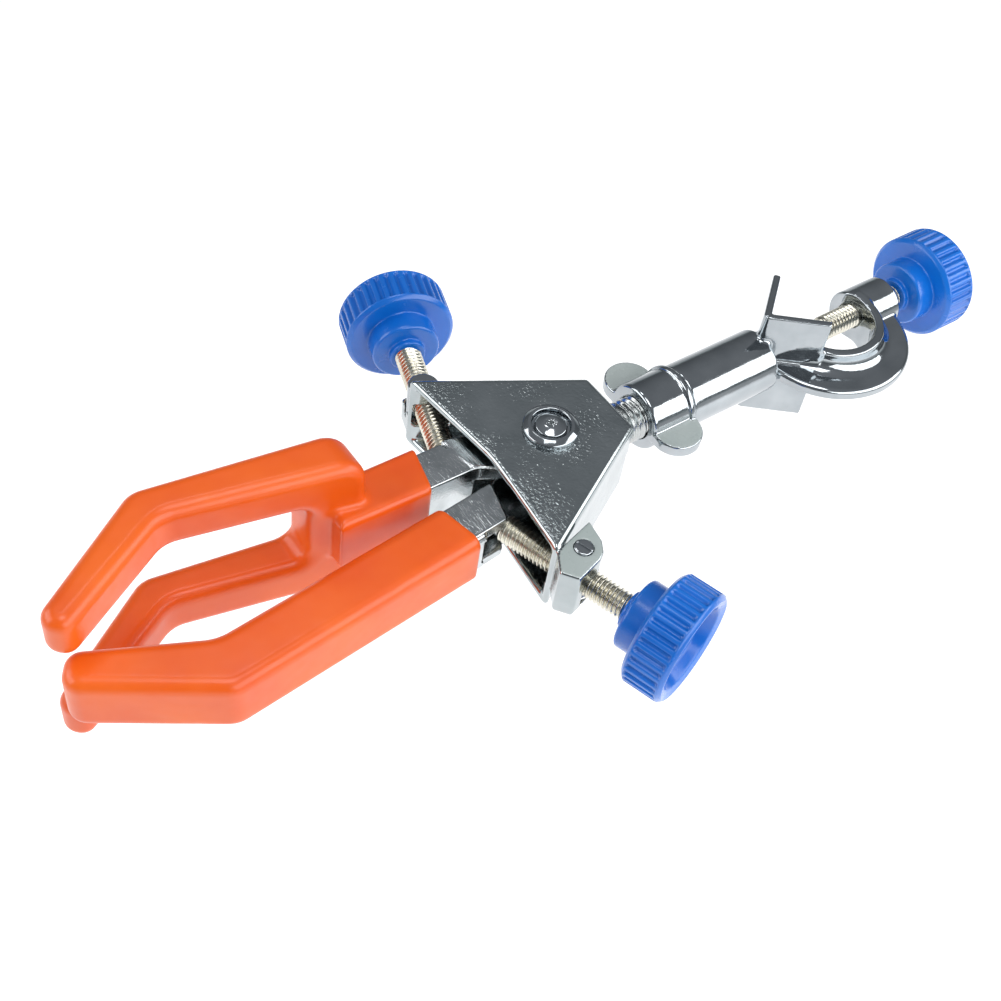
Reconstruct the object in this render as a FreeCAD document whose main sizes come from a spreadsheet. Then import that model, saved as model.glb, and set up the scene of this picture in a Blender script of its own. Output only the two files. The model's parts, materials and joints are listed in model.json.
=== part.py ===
"""Three-prong swivel clamp with a boss head, as used to hold a test tube on a lab stand.

Millimetres. The origin is the axis of the support rod at mid-height of the boss head, +Z along the
rod, and +X from the rod towards the prongs. The rest pose is the clamp almost closed: the single
finger lies between the two tines of the fork. The fork is on the -Y side, the finger on the +Y side.
"""

import FreeCAD, Part
import math
import os

import Sketcher

DIMENSIONS = {
    # overall layout along X, from the rod axis
    "pivot_x": 71.4,
    "sleeve_end_x": 35.1,
    "stud_end_x": 14.5,
    "sleeve_bore_end_x": 14.2,
    "sleeve_radius": 7.5,
    "stud_radius": 5.0,
    "stud_front_x": 59.4,
    "stud_chamfer": 0.6,
    "running_gap": 0.05,
    # V-jaw
    "jaw_vertex_x": 9.4,
    "jaw_tip_x": -1.2,
    "jaw_tip_y": 8.6,
    "jaw_back_x": 12.2,
    "jaw_outer_x": -0.1,
    "jaw_outer_y": 9.95,
    "jaw_height": 29.0,
    "jaw_tip_round": 0.45,
    "sleeve_start_radius": 3.0,
    "casting_overlap": 0.4,
    # hook round the rod, centred a little to one side of the sleeve's axis
    "hook_centre_x": -10.6,
    "hook_centre_y": 2.0,
    "hook_inner_radius": 10.5,
    "hook_band_radius": 12.8,
    "hook_cove_radius": 15.5,
    "hook_rim_inner_radius": 13.4,
    "hook_rim_radius": 20.2,
    "hook_half_height": 6.0,
    "hook_rim_half": 1.5,
    "hook_band_start": 36.0,
    "hook_rim_start": 8.0,
    "hook_end": 190.0,
    "lug_radius": 6.2,
    "lug_inner_x": -20.1,
    "lug_outer_x": -31.9,
    "lug_inner_chamfer": 0.6,
    "lug_outer_chamfer": 0.8,
    "bore_overrun": 1.0,
    # snap ring that holds the stud in the sleeve
    "snap_ring_x": 18.0,
    "snap_wire_radius": 0.6,
    "groove_half_width": 0.75,
    "sleeve_groove_radius": 5.8,
    "stud_groove_radius": 4.3,
    "snap_gap_angle": 40.0,
    # thumb screws, M6
    "screw_radius": 3.0,
    "screw_chamfer": 0.6,
    "tapped_radius": 3.05,
    "pad_radius": 2.4,
    "pad_length": 2.4,
    "spigot_radius": 1.3,
    "spigot_length": 1.9,
    "rod_screw_reach": 27.1,
    "rod_pad_x": -8.5,
    "finger_screw_reach": 33.5,
    "screw_in_knob": 11.0,
    # knobs, from the hub face outwards
    "collar_radius": 4.6,
    "collar_length": 1.4,
    "hub_radius": 7.7,
    "hub_end": 6.2,
    "hub_chamfer": 0.5,
    "wheel_radius": 12.5,
    "wheel_edge_radius": 11.7,
    "wheel_end": 15.6,
    "wheel_chamfer": 0.9,
    "dish_radius": 9.4,
    "dish_draft": 1.2,
    "dish_floor": 12.2,
    "flute_radius": 0.55,
    "flute_outward": 0.15,
    "flute_margin": 1.4,
    "flute_count": 34,
    # wing nut
    "nut_start_x": 35.5,
    "nut_lip_x": 36.5,
    "nut_body_end_x": 46.9,
    "nut_lip_radius": 8.3,
    "nut_body_radius": 7.7,
    "nut_nose_radius": 6.9,
    "nut_nose_length": 1.2,
    "wing_x": 41.3,
    "wing_y": 8.5,
    "wing_radius": 5.8,
    "wing_thickness": 3.0,
    # head, plan measured from the pivot
    "head_front": 18.2,
    "head_half_width": 27.0,
    "head_front_middle": 15.4,
    "head_back": -16.4,
    "head_back_half": 8.2,
    "head_height": 19.3,
    "head_inside_height": 15.3,
    "head_inside_back": -11.4,
    "head_inside_back_half": 8.64,
    "head_inside_front": 21.0,
    "head_inside_front_half": 26.24,
    "head_corner_round": 1.6,
    "head_lip_round": 0.7,
    "head_neck_radius": 7.4,
    "head_neck_end_x": 53.6,
    "head_neck_chamfer": 0.8,
    "head_neck_root": 1.0,
    # swivel nuts in the head's two side lugs
    "nut_axis_forward": 12.6,
    "nut_axis_side": 28.3,
    "swivel_radius": 3.6,
    "swivel_top": 5.2,
    "swivel_bottom": -3.7,
    "swivel_pin_radius": 2.0,
    "swivel_pin_top": 9.25,
    "swivel_chamfer": 0.5,
    "swivel_pin_chamfer": 0.3,
    "swivel_bore_depth": 20.0,
    "side_lug_top": 9.0,
    "side_lug_bottom": -4.6,
    "side_lug_bottom_round": 2.2,
    "low_lug_top": -0.5,
    "low_lug_bottom": -9.0,
    "screw_tilt": 18.1,
    "screw_slot_half": 3.95,
    "screw_slot_height": 6.8,
    "screw_slot_lean": 4.0,
    "screw_slot_inward": 11.0,
    "screw_slot_outward": 9.0,
    "screw_pad_to_nut": 21.0,
    # pivot stack
    "rivet_radius": 2.5,
    "rivet_head_radius": 3.5,
    "rivet_top": 11.7,
    "rivet_crown_radius": 1.9,
    "rivet_crown_drop": 0.25,
    "rivet_edge_drop": 0.95,
    "washer_radius": 6.0,
    "washer_top": 11.45,
    "washer_floor": 10.15,
    "washer_recess_radius": 4.2,
    "washer_chamfer": 0.7,
    "spacer_radius": 6.4,
    "eye_radius": 7.4,
    "tongue_low": 2.0,
    "tongue_high": 6.0,
    "spring_radius": 4.0,
    "spring_wire": 0.5,
    "spring_pitch": 1.1,
    "spring_turns": 2.5,
    "spring_leg": 11.0,
    # arms
    "coat": 1.2,
    "neck_half_height": 6.0,
    "stem_half_height": 7.2,
    "finger_half_height": 7.0,
    "fork_half_height": 19.0,
    "fork_gap_half": 8.5,
    "crotch_x": 53.5,
    "crotch_round": 3.2,
    "past_tips": 130.0,
    "edge_round": 2.6,
    "core_round": 1.2,
    "knee_round": 5.0,
    "pocket_half_height": 3.35,
}

# Outline points in plan: distance forward of the pivot, distance to the arm's own side.
OUTLINES = {
    # the finger's side lug, beside the head's front corner
    "lug_back": (7.4, 23.4),
    "lug_back_outer": (8.2, 28.7),
    "lug_round": (9.7, 31.2),
    "lug_side": (11.4, 32.3),
    "lug_front_outer": (17.9, 34.2),
    "lug_front": (20.4, 30.9),
    "lug_front_inner": (17.6, 26.2),
    # the fork's side lug, low and short, which the top plate hides from above
    "low_lug_back": (7.4, 23.4),
    "low_lug_back_outer": (8.2, 28.7),
    "low_lug_round": (9.7, 31.2),
    "low_lug_side": (11.4, 32.3),
    "low_lug_front_outer": (15.2, 32.4),
    "low_lug_front_inner": (17.2, 26.4),
    # tongue from the eye to the neck; both arms share its shape
    "tongue_back": (0.0, 7.2),
    "tongue_front": (20.0, 11.4),
    "tongue_inner": (18.0, 1.5),
    "tongue_cheek": (3.0, -6.6),
    # neck of the finger arm, bare metal
    "finger_neck_back_in": (17.1, 3.3),
    "finger_neck_back_out": (19.6, 12.9),
    "finger_neck_front_out": (45.0, 15.3),
    "finger_neck_front_in": (45.0, 6.2),
    # finger with its coating
    "finger_root_in": (30.4, 3.4),
    "finger_knee_in": (82.5, 8.4),
    "finger_tip_in": (106.8, -2.8),
    "finger_tip_out": (111.6, 4.2),
    "finger_knee_out": (85.0, 20.9),
    "finger_root_out": (27.7, 15.2),
    # neck of the fork arm, bare metal
    "fork_neck_back_in": (16.9, 1.3),
    "fork_neck_back_out": (20.3, 10.6),
    "fork_neck_front_out": (46.0, 10.9),
    "fork_neck_front_in": (46.0, 1.8),
    # stem of the fork with its coating
    "fork_stem_in": (29.0, 0.4),
    "fork_stem_end_in": (47.0, 1.0),
    "fork_stem_end_out": (47.0, 12.4),
    "fork_stem_out": (26.2, 12.1),
    # tines of the fork with their coating
    "fork_shoulder_in": (42.0, 3.8),
    "fork_knee_in": (82.0, 12.4),
    "fork_tip_in": (107.0, -1.8),
    "fork_tip_out": (111.8, 3.0),
    "fork_knee_out": (84.6, 21.2),
    "fork_shoulder_out": (42.0, 14.8),
}

# The space that a thumb screw's end sweeps in its arm, seen from the arm, as distances from the
# centre of the screw's nose: forward, and to the arm's own side.
POCKET = {
    "pocket_floor_back": (-2.2, -3.15),
    "pocket_back": (-3.75, -1.5),
    "pocket_back_far": (-9.2, 12.0),
    "pocket_front_far": (9.2, 12.0),
    "pocket_front": (3.75, -1.5),
    "pocket_floor_front": (2.2, -3.15),
}

FORK_SIDE, FINGER_SIDE = -1, 1
SIDES = {"fork": FORK_SIDE, "finger": FINGER_SIDE}

doc = FreeCAD.newDocument("clamp")
sheet = doc.addObject("Spreadsheet::Sheet", "Dims")
finished = []


def fill_sheet():
    cells = dict(DIMENSIONS)
    for name, (along, across) in {**OUTLINES, **POCKET}.items():
        cells[name + "_x"] = along
        cells[name + "_y"] = across
    for row, (name, value) in enumerate(cells.items(), 1):
        sheet.set(f"A{row}", name)
        sheet.set(f"B{row}", repr(value))
        sheet.setAlias(f"B{row}", name)
    doc.recompute()


def size(expression):
    """The value of an expression in the sheet's names, as a plain number."""
    value = sheet.evalExpression(dims(expression))
    return float(getattr(value, "Value", value))


def dims(expression):
    """An expression with every name of the sheet written as a reference to it."""
    words, word = [], ""
    for character in expression + " ":
        if character.isalnum() or character == "_":
            word += character
            continue
        known = word and not word[0].isdigit() and word not in ("cos", "sin", "tan", "deg")
        words.append(("Dims." + word if known else word) + character)
        word = ""
    return "".join(words).strip()


def bind(target, prop, expression):
    target.setExpression(prop, dims(expression))


# ---------------------------------------------------------------- building blocks


def new_body(label):
    body = doc.addObject("PartDesign::Body", label)
    body.Label = label
    return body


def new_sketch(body, plane, offset=None):
    """A sketch on one of the body's origin planes. Its X and Y are (X, Y) on the XY plane, (X, Z) on
    the XZ plane and (Y, Z) on the YZ plane."""
    sketch = body.newObject("Sketcher::SketchObject", body.Label + "_sketch")
    support = [f for f in body.Origin.OriginFeatures if f.Role == plane + "_Plane"][0]
    sketch.AttachmentSupport = [(support, "")]
    sketch.MapMode = "FlatFace"
    if offset:
        sketch.AttachmentOffset = offset
    return sketch


def raised(distance):
    """The offset of a sketch that is moved off its plane."""
    return FreeCAD.Placement(FreeCAD.Vector(0, 0, size(distance)), FreeCAD.Rotation())


def place(sketch, vertex, position, at):
    """Ties one vertex of a sketch to a pair of expressions."""
    for kind, expression, value in zip(("DistanceX", "DistanceY"), position, at):
        number = sketch.addConstraint(Sketcher.Constraint(kind, -1, 1, *vertex, value))
        name = f"{kind[-1].lower()}{number}"
        sketch.renameConstraint(number, name)
        bind(sketch, "Constraints." + name, expression)


def draw_polygon(sketch, points):
    at = [(size(x), size(y)) for x, y in points]
    first = sketch.GeometryCount
    for number, (x, y) in enumerate(at):
        to_x, to_y = at[(number + 1) % len(at)]
        line = Part.LineSegment(FreeCAD.Vector(x, y, 0), FreeCAD.Vector(to_x, to_y, 0))
        sketch.addGeometry(line, False)
    for number, point in enumerate(points):
        following = first + (number + 1) % len(points)
        sketch.addConstraint(Sketcher.Constraint("Coincident", first + number, 2, following, 1))
        place(sketch, (first + number, 1), point, at[number])
    return sketch


def draw_circle(sketch, centre, radius):
    at = [size(c) for c in centre]
    circle = Part.Circle(FreeCAD.Vector(*at, 0), FreeCAD.Vector(0, 0, 1), size(radius))
    number = sketch.addGeometry(circle, False)
    place(sketch, (number, 3), centre, at)
    constraint = sketch.addConstraint(Sketcher.Constraint("Radius", number, size(radius)))
    sketch.renameConstraint(constraint, f"radius{number}")
    bind(sketch, f"Constraints.radius{number}", radius)
    return sketch


def extrude(body, kind, sketch, length=None, middle=False, backwards=False):
    """A Pad or Pocket. A Pocket with no length goes right through both ways."""
    feature = body.newObject("PartDesign::" + kind, body.Label + "_" + kind.lower())
    feature.Profile = sketch
    if length:
        bind(feature, "Length", length)
    if length is None:
        feature.Type = "ThroughAll"
        feature.SideType = "Symmetric"
    elif middle:
        feature.SideType = "Symmetric"
    feature.Reversed = backwards
    doc.recompute()
    return feature


def turn(body, kind, sketch, axis="H_Axis", angle="360"):
    """A Revolution or Groove about one of the sketch's own axes."""
    feature = body.newObject("PartDesign::" + kind, body.Label + "_" + kind.lower())
    feature.Profile = sketch
    feature.ReferenceAxis = (sketch, [axis])
    bind(feature, "Angle", angle)
    doc.recompute()
    return feature


def edges_where(shape, test):
    """The names of a shape's edges for which test(edge, its middle) is true."""
    names = []
    for number, edge in enumerate(shape.Edges, 1):
        if test(edge, edge.valueAt((edge.FirstParameter + edge.LastParameter) / 2)):
            names.append(f"Edge{number}")
    return names


def dress(body, kind, amount, test):
    """A Fillet or Chamfer on the body's edges that pass a test."""
    base = body.Tip
    feature = body.newObject("PartDesign::" + kind, body.Label + "_" + kind.lower())
    feature.Base = (base, edges_where(base.Shape, test))
    bind(feature, "Radius" if kind == "Fillet" else "Size", amount)
    doc.recompute()
    return feature


def is_straight(edge, along):
    """Is an edge a straight line in a direction?"""
    if edge.Curve.TypeId != "Part::GeomLine":
        return False
    return abs(edge.Curve.Direction.dot(along)) > 0.9999


TOUCHING = 0.01   # two heights closer than this are the same
BESIDE = 1.0      # an edge closer than this to a corner belongs to it
UP = FreeCAD.Vector(0, 0, 1)
ALONG = FreeCAD.Vector(1, 0, 0)
ACROSS = FreeCAD.Vector(0, 1, 0)


def outline_point(name, side=1, grow="0", push=(0, 0)):
    """An outline point as a pair of expressions in the part's frame, moved by push times grow."""
    along = f"pivot_x + {name}_x + {push[0]} * ({grow})"
    across = f"{side} * ({name}_y + {push[1]} * ({grow}))"
    return along, across


def finish(thing):
    finished.append(thing)
    return thing


def cut(label, base, tools):
    """A Part::Cut of one shape by one or more others."""
    for number, tool in enumerate(tools, 1):
        name = label if number == len(tools) else f"{label}_step{number}"
        result = doc.addObject("Part::Cut", name)
        result.Base, result.Tool = base, tool
        result.Label = name
        doc.recompute()
        base = result
    return base


# ---------------------------------------------------------------- boss head


def make_boss_head():
    """One zinc casting: sleeve, V-jaw, hook and screw lug."""
    body = new_body("boss_head_casting")
    sleeve = new_sketch(body, "XY")
    draw_polygon(sleeve, [
        ("jaw_vertex_x + casting_overlap", "0"),
        ("jaw_vertex_x + casting_overlap", "sleeve_start_radius"),
        ("jaw_back_x", "sleeve_radius"),
        ("sleeve_end_x", "sleeve_radius"),
        ("sleeve_end_x", "0"),
    ])
    turn(body, "Revolution", sleeve)

    jaw = new_sketch(body, "XY")
    draw_polygon(jaw, [
        ("jaw_vertex_x", "0"),
        ("jaw_tip_x", "jaw_tip_y"),
        ("jaw_outer_x", "jaw_outer_y"),
        ("jaw_back_x", "0"),
        ("jaw_outer_x", "-jaw_outer_y"),
        ("jaw_tip_x", "-jaw_tip_y"),
    ])
    extrude(body, "Pad", jaw, "jaw_height", middle=True)
    middle = size("(jaw_tip_x + jaw_vertex_x) / 2")
    dress(body, "Fillet", "jaw_tip_round", lambda e, m: is_straight(e, UP) and m.x < middle)

    def ring(start, outline):
        centre = FreeCAD.Vector(size("hook_centre_x"), 0, -size("hook_centre_y"))
        turned = FreeCAD.Rotation(ACROSS, size(start))
        sketch = new_sketch(body, "XZ", FreeCAD.Placement(centre, turned))
        bind(sketch, "AttachmentOffset.Base.x", "hook_centre_x")
        bind(sketch, "AttachmentOffset.Base.z", "-hook_centre_y")
        bind(sketch, "AttachmentOffset.Rotation.Angle", start)
        draw_polygon(sketch, outline)
        turn(body, "Revolution", sketch, "V_Axis", f"hook_end - {start}")

    ring("hook_band_start", [
        ("hook_inner_radius", "-hook_half_height"),
        ("hook_band_radius", "-hook_half_height"),
        ("hook_cove_radius", "-hook_rim_half"),
        ("hook_cove_radius", "hook_rim_half"),
        ("hook_band_radius", "hook_half_height"),
        ("hook_inner_radius", "hook_half_height"),
    ])
    ring("hook_rim_start", [
        ("hook_rim_inner_radius", "-hook_rim_half"),
        ("hook_rim_radius", "-hook_rim_half"),
        ("hook_rim_radius", "hook_rim_half"),
        ("hook_rim_inner_radius", "hook_rim_half"),
    ])

    lug = new_sketch(body, "XY")
    draw_polygon(lug, [
        ("lug_inner_x", "0"),
        ("lug_inner_x", "lug_radius - lug_inner_chamfer"),
        ("lug_inner_x - lug_inner_chamfer", "lug_radius"),
        ("lug_outer_x + lug_outer_chamfer", "lug_radius"),
        ("lug_outer_x", "lug_radius - lug_outer_chamfer"),
        ("lug_outer_x", "0"),
    ])
    turn(body, "Revolution", lug)

    mouth = new_sketch(body, "XY")
    draw_polygon(mouth, [
        ("jaw_vertex_x", "0"),
        ("jaw_tip_x", "jaw_tip_y"),
        ("jaw_tip_x", "-jaw_tip_y"),
    ])
    extrude(body, "Pocket", mouth)

    throat = draw_circle(new_sketch(body, "XY"), ("hook_centre_x", "hook_centre_y"), "hook_inner_radius")
    extrude(body, "Pocket", throat, "jaw_height", middle=True)

    bores = new_sketch(body, "XY")
    draw_polygon(bores, [
        ("sleeve_bore_end_x", "0"),
        ("sleeve_bore_end_x", "stud_radius + running_gap"),
        ("snap_ring_x - groove_half_width", "stud_radius + running_gap"),
        ("snap_ring_x - groove_half_width", "sleeve_groove_radius"),
        ("snap_ring_x + groove_half_width", "sleeve_groove_radius"),
        ("snap_ring_x + groove_half_width", "stud_radius + running_gap"),
        ("sleeve_end_x", "stud_radius + running_gap"),
        ("sleeve_end_x", "0"),
    ])
    turn(body, "Groove", bores)

    tapped = new_sketch(body, "XY")
    draw_polygon(tapped, [
        ("lug_outer_x - bore_overrun", "0"),
        ("lug_outer_x - bore_overrun", "tapped_radius"),
        ("lug_inner_x + bore_overrun", "tapped_radius"),
        ("lug_inner_x + bore_overrun", "0"),
    ])
    turn(body, "Groove", tapped)
    finish(body)


def make_snap_ring():
    """A wire ring with a gap, half in the stud's groove and half in the sleeve's."""
    body = new_body("stud_snap_ring")
    offset = FreeCAD.Placement(FreeCAD.Vector(size("snap_ring_x"), 0, 0), FreeCAD.Rotation())
    sketch = new_sketch(body, "XZ", offset)
    bind(sketch, "AttachmentOffset.Base.x", "snap_ring_x")
    draw_circle(sketch, ("0", "stud_radius"), "snap_wire_radius")
    turn(body, "Revolution", sketch, "H_Axis", "360 - snap_gap_angle")
    finish(body)


def make_swivel_stud():
    """The stud on which the head turns in the boss head's sleeve. Its front end is cast into the head."""
    body = new_body("swivel_stud")
    sketch = new_sketch(body, "XY")
    draw_polygon(sketch, [
        ("stud_end_x", "0"),
        ("stud_end_x", "stud_radius - stud_chamfer"),
        ("stud_end_x + stud_chamfer", "stud_radius"),
        ("snap_ring_x - groove_half_width", "stud_radius"),
        ("snap_ring_x - groove_half_width", "stud_groove_radius"),
        ("snap_ring_x + groove_half_width", "stud_groove_radius"),
        ("snap_ring_x + groove_half_width", "stud_radius"),
        ("stud_front_x", "stud_radius"),
        ("stud_front_x", "0"),
    ])
    turn(body, "Revolution", sketch)
    finish(body)


def make_wing_nut():
    body = new_body("wing_nut")
    sketch = new_sketch(body, "XY")
    draw_polygon(sketch, [
        ("nut_start_x", "0"),
        ("nut_start_x", "nut_lip_radius"),
        ("nut_lip_x", "nut_lip_radius"),
        ("nut_lip_x", "nut_body_radius"),
        ("nut_body_end_x - nut_nose_length", "nut_body_radius"),
        ("nut_body_end_x", "nut_nose_radius"),
        ("nut_body_end_x", "0"),
    ])
    turn(body, "Revolution", sketch)
    for side in SIDES.values():
        wing = new_sketch(body, "XY")
        draw_circle(wing, ("wing_x", f"{side} * wing_y"), "wing_radius")
        extrude(body, "Pad", wing, "wing_thickness", middle=True)
    hole = draw_circle(new_sketch(body, "YZ"), ("0", "0"), "stud_radius + running_gap")
    extrude(body, "Pocket", hole)
    finish(body)


# ---------------------------------------------------------------- head


def make_head_frame():
    """The flat box of the head, open at the front, with a swivel nut's lug on each side.

    The finger's nut hangs in a lug that reaches the top. The fork's nut is the same part turned over,
    and stands in a lower lug."""
    body = new_body("head_frame")
    plan = new_sketch(body, "XY")
    draw_polygon(plan, [
        ("pivot_x + head_front", "head_half_width"),
        ("pivot_x + head_front_middle", "0"),
        ("pivot_x + head_front", "-head_half_width"),
        ("pivot_x + head_back", "-head_back_half"),
        ("pivot_x + head_back", "head_back_half"),
    ])
    extrude(body, "Pad", plan, "head_height", middle=True)
    top = size("head_height / 2")
    front = size("pivot_x + head_front_middle")
    dress(body, "Fillet", "head_corner_round",
          lambda e, m: abs(abs(m.z) - top) < TOUCHING and m.x < front)
    dress(body, "Fillet", "head_lip_round",
          lambda e, m: abs(abs(m.z) - top) < TOUCHING and m.x > front)

    high = ["lug_back", "lug_back_outer", "lug_round", "lug_side",
            "lug_front_outer", "lug_front", "lug_front_inner"]
    sketch = new_sketch(body, "XY", raised("(side_lug_top + side_lug_bottom) / 2"))
    lug = draw_polygon(sketch, [outline_point(name, SIDES["finger"]) for name in high])
    extrude(body, "Pad", lug, "side_lug_top - side_lug_bottom", middle=True)
    bottom = size("side_lug_bottom")
    lug_middle = size("pivot_x + nut_axis_forward")
    beyond_plate = size("nut_axis_side")
    dress(body, "Fillet", "side_lug_bottom_round",
          lambda e, m: abs(m.z - bottom) < TOUCHING and m.x > lug_middle and m.y > beyond_plate)
    low = ["low_lug_back", "low_lug_back_outer", "low_lug_round", "low_lug_side",
           "low_lug_front_outer", "low_lug_front_inner"]
    sketch = new_sketch(body, "XY", raised("(low_lug_top + low_lug_bottom) / 2"))
    lug = draw_polygon(sketch, [outline_point(name, SIDES["fork"]) for name in low])
    extrude(body, "Pad", lug, "low_lug_top - low_lug_bottom", middle=True)

    neck = new_sketch(body, "XY")
    draw_polygon(neck, [
        ("head_neck_end_x", "0"),
        ("head_neck_end_x", "head_neck_radius - head_neck_chamfer"),
        ("pivot_x + head_back + head_neck_root", "head_neck_radius"),
        ("pivot_x + head_back + head_neck_root", "0"),
    ])
    turn(body, "Revolution", neck)

    inside = new_sketch(body, "XY")
    draw_polygon(inside, [
        ("pivot_x + head_inside_back", "head_inside_back_half"),
        ("pivot_x + head_inside_front", "head_inside_front_half"),
        ("pivot_x + head_inside_front", "-head_inside_front_half"),
        ("pivot_x + head_inside_back", "-head_inside_back_half"),
    ])
    extrude(body, "Pocket", inside, "head_inside_height", middle=True)

    for side in SIDES.values():
        centre = ("pivot_x + nut_axis_forward", f"{side} * nut_axis_side")
        sketch = new_sketch(body, "XY", raised(f"{side} * (swivel_top + running_gap)"))
        bore = draw_circle(sketch, centre, "swivel_radius + running_gap")
        extrude(body, "Pocket", bore, "swivel_bore_depth", backwards=side < 0)
        pin = draw_circle(new_sketch(body, "XY"), centre, "swivel_pin_radius + running_gap")
        extrude(body, "Pocket", pin, "swivel_bore_depth", backwards=side > 0)
        slot = new_sketch(body, "XY")
        draw_polygon(slot, slot_corners(side))
        extrude(body, "Pocket", slot, "screw_slot_height", middle=True)

    rivet = draw_circle(new_sketch(body, "XY"), ("pivot_x", "0"), "rivet_radius")
    extrude(body, "Pocket", rivet)
    stud = draw_circle(new_sketch(body, "YZ"), ("0", "0"), "stud_radius")
    extrude(body, "Pocket", stud, "stud_front_x", backwards=True)
    finish(body)


def slot_corners(side):
    """The slot that a thumb screw passes through, along the screw's middle direction."""
    angle = "((screw_tilt - screw_slot_lean) * 1 deg)"
    corners = []
    for along, across in (("-screw_slot_inward", "-screw_slot_half"),
                          ("-screw_slot_inward", "screw_slot_half"),
                          ("screw_slot_outward", "screw_slot_half"),
                          ("screw_slot_outward", "-screw_slot_half")):
        forward = f"({across}) * cos{angle} - ({along}) * sin{angle}"
        outward = f"({across}) * sin{angle} + ({along}) * cos{angle}"
        corners.append((f"pivot_x + nut_axis_forward + {forward}",
                        f"{side} * (nut_axis_side + {outward})"))
    return corners


def make_pivot():
    """The rivet, its two cup washers, and the spacers beside the two tongues."""
    rivet = new_body("pivot_rivet")
    profile = [("0", "-rivet_top")]
    for sign, order in (("-", 1), ("", -1)):
        head = [
            ("rivet_crown_radius", f"{sign}(rivet_top - rivet_crown_drop)"),
            ("rivet_head_radius", f"{sign}(rivet_top - rivet_edge_drop)"),
            ("rivet_head_radius", f"{sign}washer_floor"),
            ("rivet_radius", f"{sign}washer_floor"),
        ]
        profile += head[::order]
    profile += [("0", "rivet_top")]
    sketch = draw_polygon(new_sketch(rivet, "XZ", at_pivot()), profile)
    bind(sketch, "AttachmentOffset.Base.x", "pivot_x")
    turn(rivet, "Revolution", sketch, "V_Axis")
    finish(rivet)

    for name, sign in (("top", ""), ("bottom", "-")):
        washer = new_body("rivet_washer_" + name)
        sketch = draw_polygon(new_sketch(washer, "XZ", at_pivot()), [
            ("rivet_radius", f"{sign}head_height / 2"),
            ("washer_radius", f"{sign}head_height / 2"),
            ("washer_radius", f"{sign}(washer_top - washer_chamfer)"),
            ("washer_radius - washer_chamfer", f"{sign}washer_top"),
            ("washer_recess_radius", f"{sign}washer_top"),
            ("washer_recess_radius", f"{sign}washer_floor"),
            ("rivet_radius", f"{sign}washer_floor"),
        ])
        bind(sketch, "AttachmentOffset.Base.x", "pivot_x")
        turn(washer, "Revolution", sketch, "V_Axis")
        finish(washer)

        spacer = new_body("arm_spacer_" + name)
        sketch = draw_polygon(new_sketch(spacer, "XZ", at_pivot()), [
            ("rivet_radius + running_gap", f"{sign}(tongue_high + running_gap)"),
            ("spacer_radius", f"{sign}(tongue_high + running_gap)"),
            ("spacer_radius", f"{sign}(head_inside_height / 2)"),
            ("rivet_radius + running_gap", f"{sign}(head_inside_height / 2)"),
        ])
        bind(sketch, "AttachmentOffset.Base.x", "pivot_x")
        turn(spacer, "Revolution", sketch, "V_Axis")
        finish(spacer)


def at_pivot():
    return FreeCAD.Placement(FreeCAD.Vector(size("pivot_x"), 0, 0), FreeCAD.Rotation())


def make_spring():
    """A torsion spring round the rivet between the tongues. Its two legs push the arms apart."""
    radius, wire = size("spring_radius"), size("spring_wire")
    pitch, leg, turns = size("spring_pitch"), size("spring_leg"), size("spring_turns")
    height = pitch * turns
    # a left-handed coil that starts at -Y with its leg coming from +X, and ends at +Y
    helix = Part.makeHelix(pitch, height, radius, 0, True)
    helix.rotate(FreeCAD.Vector(0, 0, 0), UP, -90)
    helix.translate(FreeCAD.Vector(0, 0, -height / 2))
    low = FreeCAD.Vector(0, -radius, -height / 2)
    high = FreeCAD.Vector(0, radius, height / 2)
    reach = FreeCAD.Vector(leg, 0, 0)
    path = Part.Wire([Part.makeLine(low + reach, low), *helix.Edges, Part.makeLine(high, high + reach)])
    section = Part.Wire([Part.makeCircle(wire, low + reach, ALONG)])
    spring = doc.addObject("Part::Feature", "torsion_spring")
    spring.Label = "torsion_spring"
    spring.Shape = path.makePipeShell([section], True, True)
    spring.Placement = at_pivot()
    finish(spring)


# ---------------------------------------------------------------- arms


def pocket_tool(name, side):
    """The space left in an arm for the thumb screw's end."""
    tool = new_body(name + "_screw_pocket")
    nose = ["nut_axis_forward + screw_pad_to_nut * sin(screw_tilt * 1 deg)",
            "nut_axis_side - screw_pad_to_nut * cos(screw_tilt * 1 deg)"]
    points = [(f"pivot_x + {nose[0]} + {corner}_x", f"{side} * ({nose[1]} + {corner}_y)")
              for corner in POCKET]
    extrude(tool, "Pad", draw_polygon(new_sketch(tool, "XY"), points),
            "2 * pocket_half_height", middle=True)
    return tool


def add_tongue(body, side, level):
    """The flat tongue and eye on the rivet: above the middle for the fork, below it for the finger."""
    height = "tongue_high - tongue_low"
    offset = raised(f"{level} * (tongue_low + tongue_high) / 2")
    names = ["tongue_back", "tongue_front", "tongue_inner", "tongue_cheek"]
    tongue = draw_polygon(new_sketch(body, "XY", offset), [outline_point(n, side) for n in names])
    extrude(body, "Pad", tongue, height, middle=True)
    eye = draw_circle(new_sketch(body, "XY", offset), ("pivot_x", "0"), "eye_radius")
    extrude(body, "Pad", eye, height, middle=True)
    hole = draw_circle(new_sketch(body, "XY"), ("pivot_x", "0"), "rivet_radius + running_gap")
    extrude(body, "Pocket", hole)


def add_neck(body, side, names):
    neck = draw_polygon(new_sketch(body, "XY"), [outline_point(n, side) for n in names])
    extrude(body, "Pad", neck, "2 * neck_half_height", middle=True)


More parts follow.
